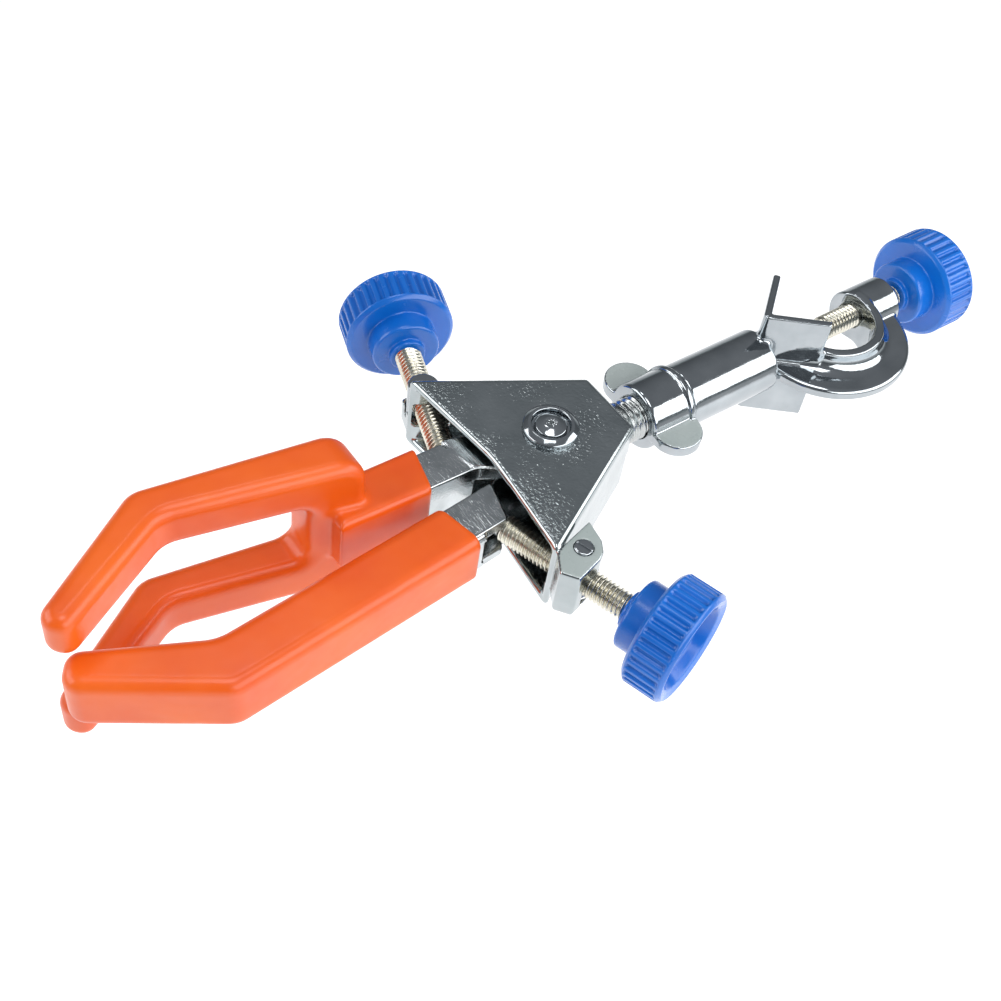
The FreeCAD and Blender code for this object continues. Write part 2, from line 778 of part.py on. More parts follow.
def add_finger(body, side, inset, root):
    """The single finger's bent bar, with its surface set in by an amount."""
    names = [("finger_root_in", 0, 1), ("finger_knee_in", 0, 1), ("finger_tip_in", -0.8, 1),
             ("finger_tip_out", -1, -0.6), ("finger_knee_out", 0, -1), ("finger_root_out", 0, -1)]
    points = [outline_point(n, side, inset, push) for n, *push in names]
    bar = draw_polygon(new_sketch(body, "XY"), points)
    extrude(body, "Pad", bar, f"2 * (finger_half_height - ({inset}))", middle=True)
    knees = [size("finger_knee_in_x + pivot_x"), size("finger_knee_out_x + pivot_x")]
    dress(body, "Fillet", "knee_round",
          lambda e, m: is_straight(e, UP) and min(abs(m.x - k) for k in knees) < BESIDE)
    tip = size("pivot_x + (finger_knee_out_x + finger_tip_in_x) / 2")
    dress(body, "Fillet", root, lambda e, m: is_straight(e, UP) and m.x > tip)


def add_fork(body, side, inset):
    """The fork's crossbar and two tines, with their surface set in by an amount."""
    names = [("fork_shoulder_in", 1, 1), ("fork_knee_in", 0, 1), ("fork_tip_in", -0.8, 1),
             ("fork_tip_out", -1, -0.6), ("fork_knee_out", 0, -1), ("fork_shoulder_out", 1, -1)]
    points = [outline_point(n, side, inset, push) for n, *push in names]
    bar = draw_polygon(new_sketch(body, "XY"), points)
    extrude(body, "Pad", bar, f"2 * (fork_half_height - ({inset}))", middle=True)
    gap = new_sketch(body, "XZ")
    draw_polygon(gap, [
        (f"pivot_x + crotch_x - ({inset})", f"fork_gap_half + ({inset})"),
        ("pivot_x + past_tips", f"fork_gap_half + ({inset})"),
        ("pivot_x + past_tips", f"-fork_gap_half - ({inset})"),
        (f"pivot_x + crotch_x - ({inset})", f"-fork_gap_half - ({inset})"),
    ])
    extrude(body, "Pocket", gap)


def make_finger_arm():
    arm = new_body("finger_arm_metal")
    add_tongue(arm, FINGER_SIDE, -1)
    add_neck(arm, FINGER_SIDE, ["finger_neck_back_in", "finger_neck_back_out",
                                "finger_neck_front_out", "finger_neck_front_in"])
    add_finger(arm, FINGER_SIDE, "coat", "core_round")
    finished_arm = cut("finger_arm", arm, [pocket_tool("finger", FINGER_SIDE)])
    finish(finished_arm)

    skin = new_body("finger_skin")
    add_finger(skin, FINGER_SIDE, "0", "edge_round")
    level, root = size("finger_half_height"), size("pivot_x + finger_root_in_x")
    dress(skin, "Fillet", "edge_round",
          lambda e, m: abs(abs(m.z) - level) < TOUCHING and m.x > root + BESIDE)
    finish(cut("finger_coating", skin, [finished_arm]))


def make_fork_arm():
    arm = new_body("fork_arm_metal")
    add_tongue(arm, FORK_SIDE, 1)
    add_neck(arm, FORK_SIDE, ["fork_neck_back_in", "fork_neck_back_out",
                              "fork_neck_front_out", "fork_neck_front_in"])
    add_fork(arm, FORK_SIDE, "coat")
    finished_arm = cut("fork_arm", arm, [pocket_tool("fork", FORK_SIDE)])
    finish(finished_arm)

    skin = new_body("fork_skin")
    add_fork(skin, FORK_SIDE, "0")
    knees = [size("fork_knee_in_x + pivot_x"), size("fork_knee_out_x + pivot_x")]
    dress(skin, "Fillet", "knee_round",
          lambda e, m: is_straight(e, UP) and min(abs(m.x - k) for k in knees) < BESIDE)
    crotch, gap = size("pivot_x + crotch_x"), size("fork_gap_half")
    dress(skin, "Fillet", "crotch_round",
          lambda e, m: abs(m.x - crotch) < TOUCHING and abs(abs(m.z) - gap) < TOUCHING)
    stem = draw_polygon(new_sketch(skin, "XY"), [outline_point(n, FORK_SIDE) for n in (
        "fork_stem_in", "fork_stem_end_in", "fork_stem_end_out", "fork_stem_out")])
    extrude(skin, "Pad", stem, "2 * stem_half_height", middle=True)
    finish(cut("fork_coating", skin, [finished_arm]))


# ---------------------------------------------------------------- thumb screws


def screw_places():
    """Each thumb screw's placement, with +X from the centre of its nose to the knob, and its reach."""
    backwards = FreeCAD.Rotation(UP, 180)
    places = {"rod": (FreeCAD.Vector(size("rod_pad_x"), 0, 0), backwards, "rod_screw_reach")}
    tilt = math.radians(size("screw_tilt"))
    for name, side in SIDES.items():
        along = FreeCAD.Vector(-math.sin(tilt), side * math.cos(tilt), 0)
        axis = FreeCAD.Vector(size("pivot_x + nut_axis_forward"), side * size("nut_axis_side"), 0)
        nose = axis - along * size("screw_pad_to_nut")
        places[name] = (nose, FreeCAD.Rotation(ALONG, along), "finger_screw_reach")
    return places


def put(body, at, rotation):
    body.Placement = FreeCAD.Placement(at, rotation)
    doc.recompute()
    finish(body)


def make_thumb_screw(name, at, rotation, reach):
    pad = new_body(name + "_screw_pad")
    nose = [(f"-pad_radius * cos({angle} deg)", f"pad_radius * sin({angle} deg)")
            for angle in (0, 30, 60)]
    draw = draw_polygon(new_sketch(pad, "XY"), [
        *nose,
        ("0", "pad_radius"),
        ("pad_length", "pad_radius"),
        ("pad_length", "spigot_radius + running_gap"),
        ("pad_length - spigot_length - running_gap", "spigot_radius + running_gap"),
        ("pad_length - spigot_length - running_gap", "0"),
    ])
    turn(pad, "Revolution", draw)
    put(pad, at, rotation)

    screw = new_body(name + "_screw")
    draw = draw_polygon(new_sketch(screw, "XY"), [
        ("pad_length - spigot_length", "0"),
        ("pad_length - spigot_length", "spigot_radius"),
        ("pad_length + running_gap", "spigot_radius"),
        ("pad_length + running_gap", "screw_radius - screw_chamfer"),
        ("pad_length + running_gap + screw_chamfer", "screw_radius"),
        (f"{reach} + screw_in_knob", "screw_radius"),
        (f"{reach} + screw_in_knob", "0"),
    ])
    turn(screw, "Revolution", draw)
    put(screw, at, rotation)

    knob = new_body(name + "_screw_knob")
    draw = draw_polygon(new_sketch(knob, "XY"), [
        (reach, "screw_radius"),
        (reach, "collar_radius"),
        (f"{reach} + collar_length", "collar_radius"),
        (f"{reach} + collar_length", "hub_radius - hub_chamfer"),
        (f"{reach} + collar_length + hub_chamfer", "hub_radius"),
        (f"{reach} + hub_end", "hub_radius"),
        (f"{reach} + hub_end", "wheel_edge_radius"),
        (f"{reach} + hub_end + wheel_chamfer", "wheel_radius"),
        (f"{reach} + wheel_end - wheel_chamfer", "wheel_radius"),
        (f"{reach} + wheel_end", "wheel_edge_radius"),
        (f"{reach} + wheel_end", "dish_radius"),
        (f"{reach} + dish_floor", "dish_radius - dish_draft"),
        (f"{reach} + dish_floor", "0"),
        (f"{reach} + screw_in_knob", "0"),
        (f"{reach} + screw_in_knob", "screw_radius"),
    ])
    turn(knob, "Revolution", draw)
    flute = new_sketch(knob, "YZ", raised(f"{reach} + hub_end + flute_margin"))
    draw_circle(flute, ("0", "wheel_radius + flute_outward"), "flute_radius")
    groove = extrude(knob, "Pocket", flute, "wheel_end - hub_end - 2 * flute_margin", backwards=True)
    pattern = knob.newObject("PartDesign::PolarPattern", name + "_flutes")
    pattern.Originals = [groove]
    pattern.Axis = (flute, ["N_Axis"])
    pattern.Angle = 360
    bind(pattern, "Occurrences", "flute_count")
    knob.Tip = pattern
    doc.recompute()
    put(knob, at, rotation)


def make_swivel_nut(name, at, rotation):
    """A barrel tapped across for the thumb screw. Its pin is peened over in the lug."""
    body = new_body(name + "_swivel_nut")
    draw = draw_polygon(new_sketch(body, "XZ"), [
        ("0", "swivel_bottom"),
        ("swivel_radius - swivel_chamfer", "swivel_bottom"),
        ("swivel_radius", "swivel_bottom + swivel_chamfer"),
        ("swivel_radius", "swivel_top"),
        ("swivel_pin_radius", "swivel_top"),
        ("swivel_pin_radius", "swivel_pin_top - swivel_pin_chamfer"),
        ("swivel_pin_radius - swivel_pin_chamfer", "swivel_pin_top"),
        ("0", "swivel_pin_top"),
    ])
    turn(body, "Revolution", draw, "V_Axis")
    hole = draw_circle(new_sketch(body, "YZ"), ("0", "0"), "tapped_radius")
    extrude(body, "Pocket", hole)
    put(body, at, rotation)


# ---------------------------------------------------------------- build


def check_document():
    """Stops on any object that failed, which a recompute doesn't report."""
    doc.recompute()
    for thing in doc.Objects:
        if "Invalid" in thing.State or "Error" in thing.State:
            raise RuntimeError(f"{thing.Label} failed: {thing.State}")
    bad = [thing.Label for thing in finished
           if thing.Shape.isNull() or not thing.Shape.isValid() or not thing.Shape.Solids]
    if bad:
        raise RuntimeError(f"no valid solid in {bad}")


def write_parts():
    os.makedirs("parts", exist_ok=True)
    for thing in finished:
        thing.Shape.exportStep(f"parts/{thing.Label}.step")
        box = thing.Shape.BoundBox
        print(f"{thing.Label:22s} {len(thing.Shape.Solids)} solid  {thing.Shape.Volume:9.1f} mm3  "
              f"x {box.XMin:7.1f} {box.XMax:7.1f}  y {box.YMin:6.1f} {box.YMax:6.1f}  "
              f"z {box.ZMin:6.1f} {box.ZMax:6.1f}")


fill_sheet()
make_boss_head()
make_snap_ring()
make_swivel_stud()
make_wing_nut()
make_head_frame()
make_pivot()
make_spring()
make_finger_arm()
make_fork_arm()
for screw_name, (nose_at, turned_by, screw_reach) in screw_places().items():
    make_thumb_screw(screw_name, nose_at, turned_by, screw_reach)
    if screw_name in SIDES:
        nut_at = nose_at + turned_by.multVec(ALONG) * size("screw_pad_to_nut")
        over = FreeCAD.Rotation(ALONG, 180 if SIDES[screw_name] < 0 else 0)
        make_swivel_nut(screw_name, nut_at, turned_by.multiply(over))
check_document()
write_parts()
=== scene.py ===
"""The looks of a three-prong swivel clamp with a boss head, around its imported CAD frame.

Shapes are worked out in millimetres in the CAD frame: the origin is the axis of the support rod, +Z
along the rod, +X towards the prongs. Castings and coatings are surfaces of distance fields, so their
edges are rounded as cast and dipped parts are. Turned parts are profiles turned about an axis.
"""
import json
import math

import bpy
import numpy as np
from mathutils import Matrix, Vector


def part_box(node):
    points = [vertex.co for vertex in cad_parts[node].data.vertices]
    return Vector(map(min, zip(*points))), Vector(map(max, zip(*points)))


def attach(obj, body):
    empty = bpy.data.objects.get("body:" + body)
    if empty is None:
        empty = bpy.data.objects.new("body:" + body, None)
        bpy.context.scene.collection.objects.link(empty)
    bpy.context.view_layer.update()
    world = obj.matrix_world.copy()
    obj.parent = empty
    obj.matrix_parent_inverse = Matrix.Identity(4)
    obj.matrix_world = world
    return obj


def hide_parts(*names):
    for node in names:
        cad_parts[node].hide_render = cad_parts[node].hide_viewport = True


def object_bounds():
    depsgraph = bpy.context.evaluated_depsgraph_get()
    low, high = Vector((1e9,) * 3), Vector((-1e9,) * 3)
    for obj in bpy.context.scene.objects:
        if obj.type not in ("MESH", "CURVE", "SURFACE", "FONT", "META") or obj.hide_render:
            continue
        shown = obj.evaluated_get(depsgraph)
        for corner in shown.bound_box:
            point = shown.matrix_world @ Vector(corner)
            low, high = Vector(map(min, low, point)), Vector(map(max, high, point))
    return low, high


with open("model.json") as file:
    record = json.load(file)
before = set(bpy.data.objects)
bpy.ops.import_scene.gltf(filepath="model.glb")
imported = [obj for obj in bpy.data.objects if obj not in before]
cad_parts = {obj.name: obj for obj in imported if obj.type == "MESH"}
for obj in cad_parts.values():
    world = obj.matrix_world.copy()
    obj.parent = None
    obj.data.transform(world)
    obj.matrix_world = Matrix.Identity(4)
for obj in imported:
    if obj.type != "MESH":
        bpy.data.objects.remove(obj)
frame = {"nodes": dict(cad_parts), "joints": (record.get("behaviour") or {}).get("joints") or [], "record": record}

MM = 0.001
TINY = 1e-9
nodes = frame["nodes"]
joints = {joint["name"]: joint for joint in frame["joints"]}
cad_low, cad_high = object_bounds()
PIVOT = joints["finger_swing"]["pos_m"][0] / MM
SIDES = {"fork": -1, "finger": 1}


# ---------------------------------------------------------------- camera, light, floor

CAMERA_PLACE = (0.2184, 0.1478, 0.2316)
CAMERA_AZIMUTH, CAMERA_ELEVATION, CAMERA_ROLL = 137.29, 49.93, 9.69
LENS = 52.3


def make_camera():
    """A camera whose backward axis has an azimuth (from -Y towards +X) and an elevation, then rolled."""
    azimuth, elevation, roll = (math.radians(a) for a in (CAMERA_AZIMUTH, CAMERA_ELEVATION, CAMERA_ROLL))
    back = Vector((math.sin(azimuth) * math.cos(elevation), -math.cos(azimuth) * math.cos(elevation),
                   math.sin(elevation)))
    right = Vector((0, 0, 1)).cross(back).normalized()
    up = back.cross(right)
    turned_right = right * math.cos(roll) + up * math.sin(roll)
    turned_up = up * math.cos(roll) - right * math.sin(roll)
    camera = bpy.data.objects.new("camera", bpy.data.cameras.new("camera"))
    camera.data.lens = LENS
    camera.data.clip_start = 0.01
    rotation = Matrix((turned_right, turned_up, back)).transposed().to_4x4()
    camera.matrix_world = Matrix.Translation(CAMERA_PLACE) @ rotation
    bpy.context.scene.collection.objects.link(camera)
    bpy.context.scene.camera = camera


SOFTBOX_DISTANCE = 0.6
# Azimuth from +X towards +Y and elevation in degrees, size in metres, power in watts.
SOFTBOXES = {
    "near_side_box": (118, 27, (1.1, 0.40), 4.6),
    "prong_side_box": (-30, 25, (0.6, 0.36), 2.0),
    "top_fill_box": (60, 78, (0.30, 0.30), 1.1),
    "far_corner_box": (262, 66, (0.16, 0.10), 0.22),
}


def add_softbox(name, azimuth, elevation, size, power):
    """A rectangular light at a fixed distance from the pivot, in a direction seen from the pivot."""
    a, e = math.radians(azimuth), math.radians(elevation)
    towards = Vector((math.cos(a) * math.cos(e), math.sin(a) * math.cos(e), math.sin(e)))
    light = bpy.data.lights.new(name, "AREA")
    light.shape = "RECTANGLE"
    light.size, light.size_y = size
    light.energy = power
    lamp = bpy.data.objects.new(name, light)
    lamp.location = Vector((PIVOT * MM, 0, 0)) + towards * SOFTBOX_DISTANCE
    lamp.rotation_euler = towards.to_track_quat("Z", "Y").to_euler()
    bpy.context.scene.collection.objects.link(lamp)


def light_scene():
    """The softboxes, and a world that is light below the horizon, dark above it and grey overhead."""
    for name, settings in SOFTBOXES.items():
        add_softbox(name, *settings)
    world = bpy.data.worlds.new("studio")
    bpy.context.scene.world = world
    world.use_nodes = True
    tree = world.node_tree
    background = tree.nodes["Background"]
    coordinates = tree.nodes.new("ShaderNodeTexCoord")
    split = tree.nodes.new("ShaderNodeSeparateXYZ")
    ramp = tree.nodes.new("ShaderNodeValToRGB")
    ramp.color_ramp.elements[0].position = 0.46
    ramp.color_ramp.elements[0].color = (0.62, 0.68, 0.69, 1)
    ramp.color_ramp.elements[1].position = 0.56
    ramp.color_ramp.elements[1].color = (0.13, 0.14, 0.15, 1)
    top = ramp.color_ramp.elements.new(1.0)
    top.color = (0.30, 0.31, 0.33, 1)
    scale = tree.nodes.new("ShaderNodeMapRange")
    scale.inputs["From Min"].default_value = -1
    tree.links.new(coordinates.outputs["Generated"], split.inputs[0])
    tree.links.new(split.outputs["Z"], scale.inputs["Value"])
    tree.links.new(scale.outputs[0], ramp.inputs["Fac"])
    tree.links.new(ramp.outputs["Color"], background.inputs["Color"])
    background.inputs["Strength"].default_value = 1.0
    bpy.context.scene.view_settings.view_transform = "Standard"


FLOOR_DROP, FLOOR_SIZE, FLOOR_GLOW = 0.11, 8, 0.34


def make_floor():
    """A plain pale sheet, well below the clamp, that glows a little so that it shows white."""
    bpy.ops.mesh.primitive_plane_add(size=FLOOR_SIZE, location=(0, 0, cad_low.z - FLOOR_DROP))
    floor = bpy.context.object
    floor.name = "floor"
    material = new_material("pale_floor")
    shader = material.node_tree.nodes["Principled BSDF"]
    shader.inputs["Base Color"].default_value = (0.93, 0.93, 0.93, 1)
    shader.inputs["Roughness"].default_value = 0.9
    shader.inputs["Specular IOR Level"].default_value = 0.0
    shader.inputs["Emission Color"].default_value = (1, 1, 1, 1)
    shader.inputs["Emission Strength"].default_value = FLOOR_GLOW
    floor.data.materials.append(material)


# ---------------------------------------------------------------- materials

# Noises are in features per millimetre, bump depths in millimetres.
METAL_TINT_SCALE, METAL_GLOSS_SCALE = 0.12, 0.35
PLASTIC_TINT_SCALE, PLASTIC_GLOSS_SCALE = 0.05, 0.3
COAT_ROUGHNESS = 0.12
HAMMER_SCALE, HAMMER_DEPTH, HAMMER_PATCH_SCALE = 1.5, 0.30, 0.07
LEVEL_START, LEVEL_FULL = 0.93, 0.995


def new_material(name):
    """An empty material with nodes."""
    material = bpy.data.materials.new(name)
    material.use_nodes = True
    return material


def add_noise(tree, scale, detail=3.0, stretch=(1, 1, 1)):
    """Noise in the piece's own metres; scale is in features per millimetre."""
    coordinates = tree.nodes.new("ShaderNodeTexCoord")
    mapping = tree.nodes.new("ShaderNodeMapping")
    mapping.inputs["Scale"].default_value = [s * scale / MM for s in stretch]
    noise = tree.nodes.new("ShaderNodeTexNoise")
    noise.inputs["Scale"].default_value = 1.0
    noise.inputs["Detail"].default_value = detail
    tree.links.new(coordinates.outputs["Object"], mapping.inputs["Vector"])
    tree.links.new(mapping.outputs[0], noise.inputs["Vector"])
    return noise.outputs["Fac"]


def remap(tree, value, low, high):
    """Stretches the middle of a noise onto a range."""
    node = tree.nodes.new("ShaderNodeMapRange")
    node.inputs["From Min"].default_value = 0.3
    node.inputs["From Max"].default_value = 0.7
    node.inputs["To Min"].default_value = low
    node.inputs["To Max"].default_value = high
    tree.links.new(value, node.inputs["Value"])
    return node.outputs[0]


def mix_colours(tree, factor, low, high):
    """A colour between two others, by a factor from 0 to 1."""
    node = tree.nodes.new("ShaderNodeMix")
    node.data_type = "RGBA"
    node.inputs[6].default_value = (*low, 1)
    node.inputs[7].default_value = (*high, 1)
    tree.links.new(factor, node.inputs[0])
    return node.outputs[2]


def add_bumps(tree, shader, bumps):
    """Stacks bumps given as (height, depth in millimetres, strength)."""
    normal = None
    for height, depth, strength in bumps:
        bump = tree.nodes.new("ShaderNodeBump")
        bump.inputs["Distance"].default_value = depth * MM
        if isinstance(strength, (int, float)):
            bump.inputs["Strength"].default_value = strength
        else:
            tree.links.new(strength, bump.inputs["Strength"])
        tree.links.new(height, bump.inputs["Height"])
        if normal:
            tree.links.new(normal, bump.inputs["Normal"])
        normal = bump.outputs[0]
    tree.links.new(normal, shader.inputs["Normal"])


def facing_up(tree):
    """1 on faces that look up or down, 0 on the sides."""
    geometry = tree.nodes.new("ShaderNodeNewGeometry")
    split = tree.nodes.new("ShaderNodeSeparateXYZ")
    size = tree.nodes.new("ShaderNodeMath")
    size.operation = "ABSOLUTE"
    steep = tree.nodes.new("ShaderNodeMapRange")
    steep.inputs["From Min"].default_value = LEVEL_START
    steep.inputs["From Max"].default_value = LEVEL_FULL
    tree.links.new(geometry.outputs["Normal"], split.inputs[0])
    tree.links.new(split.outputs["Z"], size.inputs[0])
    tree.links.new(size.outputs[0], steep.inputs["Value"])
    return steep.outputs[0]


def metal(name, dark, light, roughness, bumps, hammered=False):
    """A plated metal: tint and gloss vary slowly, with fine bumps given as (scale, depth, stretch)."""
    material = new_material(name)
    tree = material.node_tree
    shader = tree.nodes["Principled BSDF"]
    shader.inputs["Metallic"].default_value = 1.0
    tint = mix_colours(tree, remap(tree, add_noise(tree, METAL_TINT_SCALE), 0, 1), dark, light)
    tree.links.new(tint, shader.inputs["Base Color"])
    gloss = remap(tree, add_noise(tree, METAL_GLOSS_SCALE, 5), roughness[0], roughness[1])
    tree.links.new(gloss, shader.inputs["Roughness"])
    stack = [(add_noise(tree, scale, 2.0, stretch), depth, 1.0) for scale, depth, stretch in bumps]
    if hammered:
        patches = remap(tree, add_noise(tree, HAMMER_PATCH_SCALE, 1), 0.2, 1.0)
        where = tree.nodes.new("ShaderNodeMath")
        where.operation = "MULTIPLY"
        tree.links.new(patches, where.inputs[0])
        tree.links.new(facing_up(tree), where.inputs[1])
        stack.append((add_noise(tree, HAMMER_SCALE, 2.0), HAMMER_DEPTH, where.outputs[0]))
    add_bumps(tree, shader, stack)
    return material


def plastic(name, dark, light, roughness, bumps, coat=0.0):
    """A plastic or dull surface, varied in the same way, with a clear coat of a given weight."""
    material = new_material(name)
    tree = material.node_tree
    shader = tree.nodes["Principled BSDF"]
    tint = mix_colours(tree, remap(tree, add_noise(tree, PLASTIC_TINT_SCALE), 0, 1), dark, light)
    tree.links.new(tint, shader.inputs["Base Color"])
    gloss = remap(tree, add_noise(tree, PLASTIC_GLOSS_SCALE, 4), roughness[0], roughness[1])
    tree.links.new(gloss, shader.inputs["Roughness"])
    shader.inputs["Coat Weight"].default_value = coat
    shader.inputs["Coat Roughness"].default_value = COAT_ROUGHNESS
    add_bumps(tree, shader, [(add_noise(tree, s, 2.0, stretch), d, 1.0) for s, d, stretch in bumps])
    return material


EVEN = (1, 1, 1)
materials = {
    "plated_zinc": metal("plated_zinc", (0.34, 0.37, 0.39), (0.44, 0.47, 0.49), (0.06, 0.13),
                         [(0.25, 0.05, EVEN), (1.6, 0.006, EVEN)]),
    "hammered_zinc": metal("hammered_zinc", (0.36, 0.40, 0.41), (0.46, 0.50, 0.51), (0.09, 0.18),
                           [(0.2, 0.03, EVEN), (1.6, 0.006, EVEN)], hammered=True),
    "plated_steel": metal("plated_steel", (0.56, 0.53, 0.44), (0.74, 0.72, 0.63), (0.16, 0.30),
                          [(1.2, 0.02, EVEN)]),
    "stud_steel": metal("stud_steel", (0.44, 0.46, 0.46), (0.56, 0.58, 0.57), (0.14, 0.26),
                        [(1.2, 0.02, EVEN)]),
    # A painted sheen: a lighter, dull grey-green that stands in for the reflection the plated flats of the high
    # lug and the wings would show.
    "sheen_painted_zinc": plastic("sheen_painted_zinc", (0.34, 0.39, 0.38), (0.46, 0.50, 0.49), (0.22, 0.32),
                          [(0.5, 0.02, EVEN), (1.6, 0.006, EVEN)], coat=0.3),
    "pad_steel": metal("pad_steel", (0.62, 0.62, 0.60), (0.76, 0.76, 0.75), (0.08, 0.16),
                       [(2.0, 0.01, EVEN)]),
    "arm_metal": metal("arm_metal", (0.42, 0.45, 0.46), (0.62, 0.65, 0.66), (0.10, 0.22),
                       [(1.4, 0.05, (2.6, 0.35, 1)), (0.5, 0.02, EVEN)]),
    "spring_steel": metal("spring_steel", (0.26, 0.26, 0.27), (0.38, 0.38, 0.39), (0.28, 0.42),
                          [(1.5, 0.01, EVEN)]),
    "vinyl_coating": plastic("vinyl_coating", (0.72, 0.084, 0.004), (0.82, 0.128, 0.006), (0.30, 0.40),
                             [(0.10, 0.25, EVEN), (0.9, 0.004, EVEN)], coat=0.12),
    "knob_plastic": plastic("knob_plastic", (0.002, 0.105, 0.46), (0.004, 0.155, 0.62), (0.18, 0.28),
                            [(0.30, 0.05, EVEN), (1.8, 0.004, EVEN)], coat=0.25),
}


# ---------------------------------------------------------------- meshes


def add_piece(name, points, faces, body, slot, replaced, look=None, second_look=None):
    """Makes a piece from points in millimetres, which rides on a body and stands for CAD nodes.

    second_look is a material and a test on each face's middle and normal that picks its faces."""
    mesh = bpy.data.meshes.new(name)
    if isinstance(faces, np.ndarray):
        mesh.vertices.add(len(points))
        mesh.vertices.foreach_set("co", (points * MM).astype(np.float32).ravel())
        mesh.loops.add(faces.size)
        mesh.loops.foreach_set("vertex_index", faces.astype(np.int32).ravel())
        mesh.polygons.add(len(faces))
        mesh.polygons.foreach_set("loop_start", np.arange(0, faces.size, 4, dtype=np.int32))
    else:
        mesh.from_pydata((np.asarray(points) * MM).tolist(), [], faces)
    mesh.update(calc_edges=True)
    mesh.validate()
    mesh.shade_smooth()
    piece = bpy.data.objects.new(name, mesh)
    bpy.context.scene.collection.objects.link(piece)
    mesh.materials.append(materials[look or slot])
    if second_look:
        material, chosen = second_look
        mesh.materials.append(materials[material])
        corners = points[faces.ravel()].reshape(len(faces), 4, 3)
        across = np.cross(corners[:, 2] - corners[:, 0], corners[:, 3] - corners[:, 1])
        normals = across / np.maximum(np.linalg.norm(across, axis=1), TINY)[:, None]
        picked = chosen(*corners.mean(axis=1).T, *normals.T)
        mesh.polygons.foreach_set("material_index", picked.astype(np.int32))
    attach(piece, body)
    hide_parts(*replaced)
    return piece


def rounded(corners, spacing=0.5):
    """A closed outline whose corners, given as (x, y, radius), are turned into arcs."""
    points = []
    for number, (x, y, radius) in enumerate(corners):
        here = np.array((x, y), float)
        before = np.array(corners[number - 1][:2]) - here
        after = np.array(corners[(number + 1) % len(corners)][:2]) - here
        before, after = before / np.linalg.norm(before), after / np.linalg.norm(after)
        half = math.acos(np.clip(before @ after, -1, 1)) / 2
        if radius <= 0 or half > math.pi / 2 - 0.01:
            points.append(here)
            continue
        middle = (before + after) / np.linalg.norm(before + after)
        centre = here + middle * radius / math.sin(half)
        start, end = (here + d * radius / math.tan(half) - centre for d in (before, after))
        first = math.atan2(start[1], start[0])
        turn = (math.atan2(end[1], end[0]) - first + math.pi) % (2 * math.pi) - math.pi
        steps = max(3, int(abs(turn) * radius / spacing) + 1)
        for step in range(steps + 1):
            angle = first + turn * step / steps
            points.append(centre + radius * np.array((math.cos(angle), math.sin(angle))))
    return np.array(points)


def within(outline, x, y):
    """Distance to a closed outline, negative inside it."""
    shape = np.broadcast(x, y).shape
    inside, nearest = np.zeros(shape, bool), np.full(shape, np.inf)
    for (ax, ay), (bx, by) in zip(outline, np.roll(outline, -1, axis=0)):
        along, across = bx - ax, by - ay
        from_x, from_y = x - ax, y - ay
        share = np.clip((from_x * along + from_y * across) / (along ** 2 + across ** 2), 0, 1)
        nearest = np.minimum(nearest, (from_x - along * share) ** 2 + (from_y - across * share) ** 2)
        if ay != by:
            crosses = (ay > y) != (by > y)
            inside ^= crosses & (from_x < (y - ay) / (by - ay) * along)
    return np.where(inside, -1, 1) * np.sqrt(nearest)


def both(a, b, radius=0.0):
    """The space inside two fields, with a round of that radius on the edge between them."""
    a, b = a + radius, b + radius
    return np.minimum(np.maximum(a, b), 0) + np.hypot(np.maximum(a, 0), np.maximum(b, 0)) - radius


def either(a, b, radius=0.0):
    """The space inside either field, with a fillet of that radius in the corner between them."""
    return -both(-a, -b, radius)


def without(a, b, radius=0.0):
    """The space inside the first field and outside the second, with a round on the edge between."""
    return both(a, -b, radius)


def beside(x, y, point, towards):
    """Distance past the line through two points, positive on its left."""
    along, across = towards[0] - point[0], towards[1] - point[1]
    return (along * (y - point[1]) - across * (x - point[0])) / math.hypot(along, across)


def skin(field, low, high, step):
    axes = [np.arange(a - 2 * step, b + 3 * step, step) for a, b in zip(low, high)]
    x, y, z = np.ix_(*axes)
    values = np.broadcast_to(field(x, y, z), [len(a) for a in axes])
    cells, crossings = [], []
    for axis in range(3):
        here = np.moveaxis(values, axis, 0)[:-1]
        following = np.moveaxis(values, axis, 0)[1:]
        found = np.nonzero((here < 0) != (following < 0))
        a, b = here[found], following[found]
        index = np.empty((len(a), 3), np.int64)
        index[:, axis] = found[0]
        rest = [other for other in range(3) if other != axis]
        index[:, rest[0]], index[:, rest[1]] = found[1], found[2]
        point = index.astype(float)
        point[:, axis] += a / (a - b)
        first, second = (axis + 1) % 3, (axis + 2) % 3
        around = np.repeat(index[:, None, :], 4, axis=1)
        around[:, 1:3, first] -= 1
        around[:, 2:4, second] -= 1
        leaving = a < 0
        around[~leaving] = around[~leaving][:, ::-1]
        cells.append(around)
        crossings.append(point)
    cells, crossings = np.concatenate(cells), np.concatenate(crossings)
    flat = np.ravel_multi_index(np.moveaxis(cells, -1, 0), values.shape)
    used, quads = np.unique(flat, return_inverse=True)
    quads = quads.reshape(-1, 4)
    count = np.bincount(quads.ravel(), minlength=len(used))
    spread = np.repeat(crossings, 4, axis=0)
    points = np.stack([np.bincount(quads.ravel(), spread[:, c], len(used)) / count for c in range(3)], 1)
    points = points * step + [axis[0] for axis in axes]
    return settle(field, points, step), quads


def settle(field, points, step):
    """Moves points onto the surface of a field, by less than a step."""
    reach = step * 0.2
    for _ in range(2):
        slope = np.empty_like(points)
        for axis in range(3):
            ahead, behind = points.copy(), points.copy()
            ahead[:, axis] += reach
            behind[:, axis] -= reach
            slope[:, axis] = (field(*ahead.T) - field(*behind.T)) / (2 * reach)
        value = field(*points.T)
        move = slope * (value / np.maximum((slope ** 2).sum(1), 0.25))[:, None]
        points = points - np.clip(move, -step / 2, step / 2)
    return points


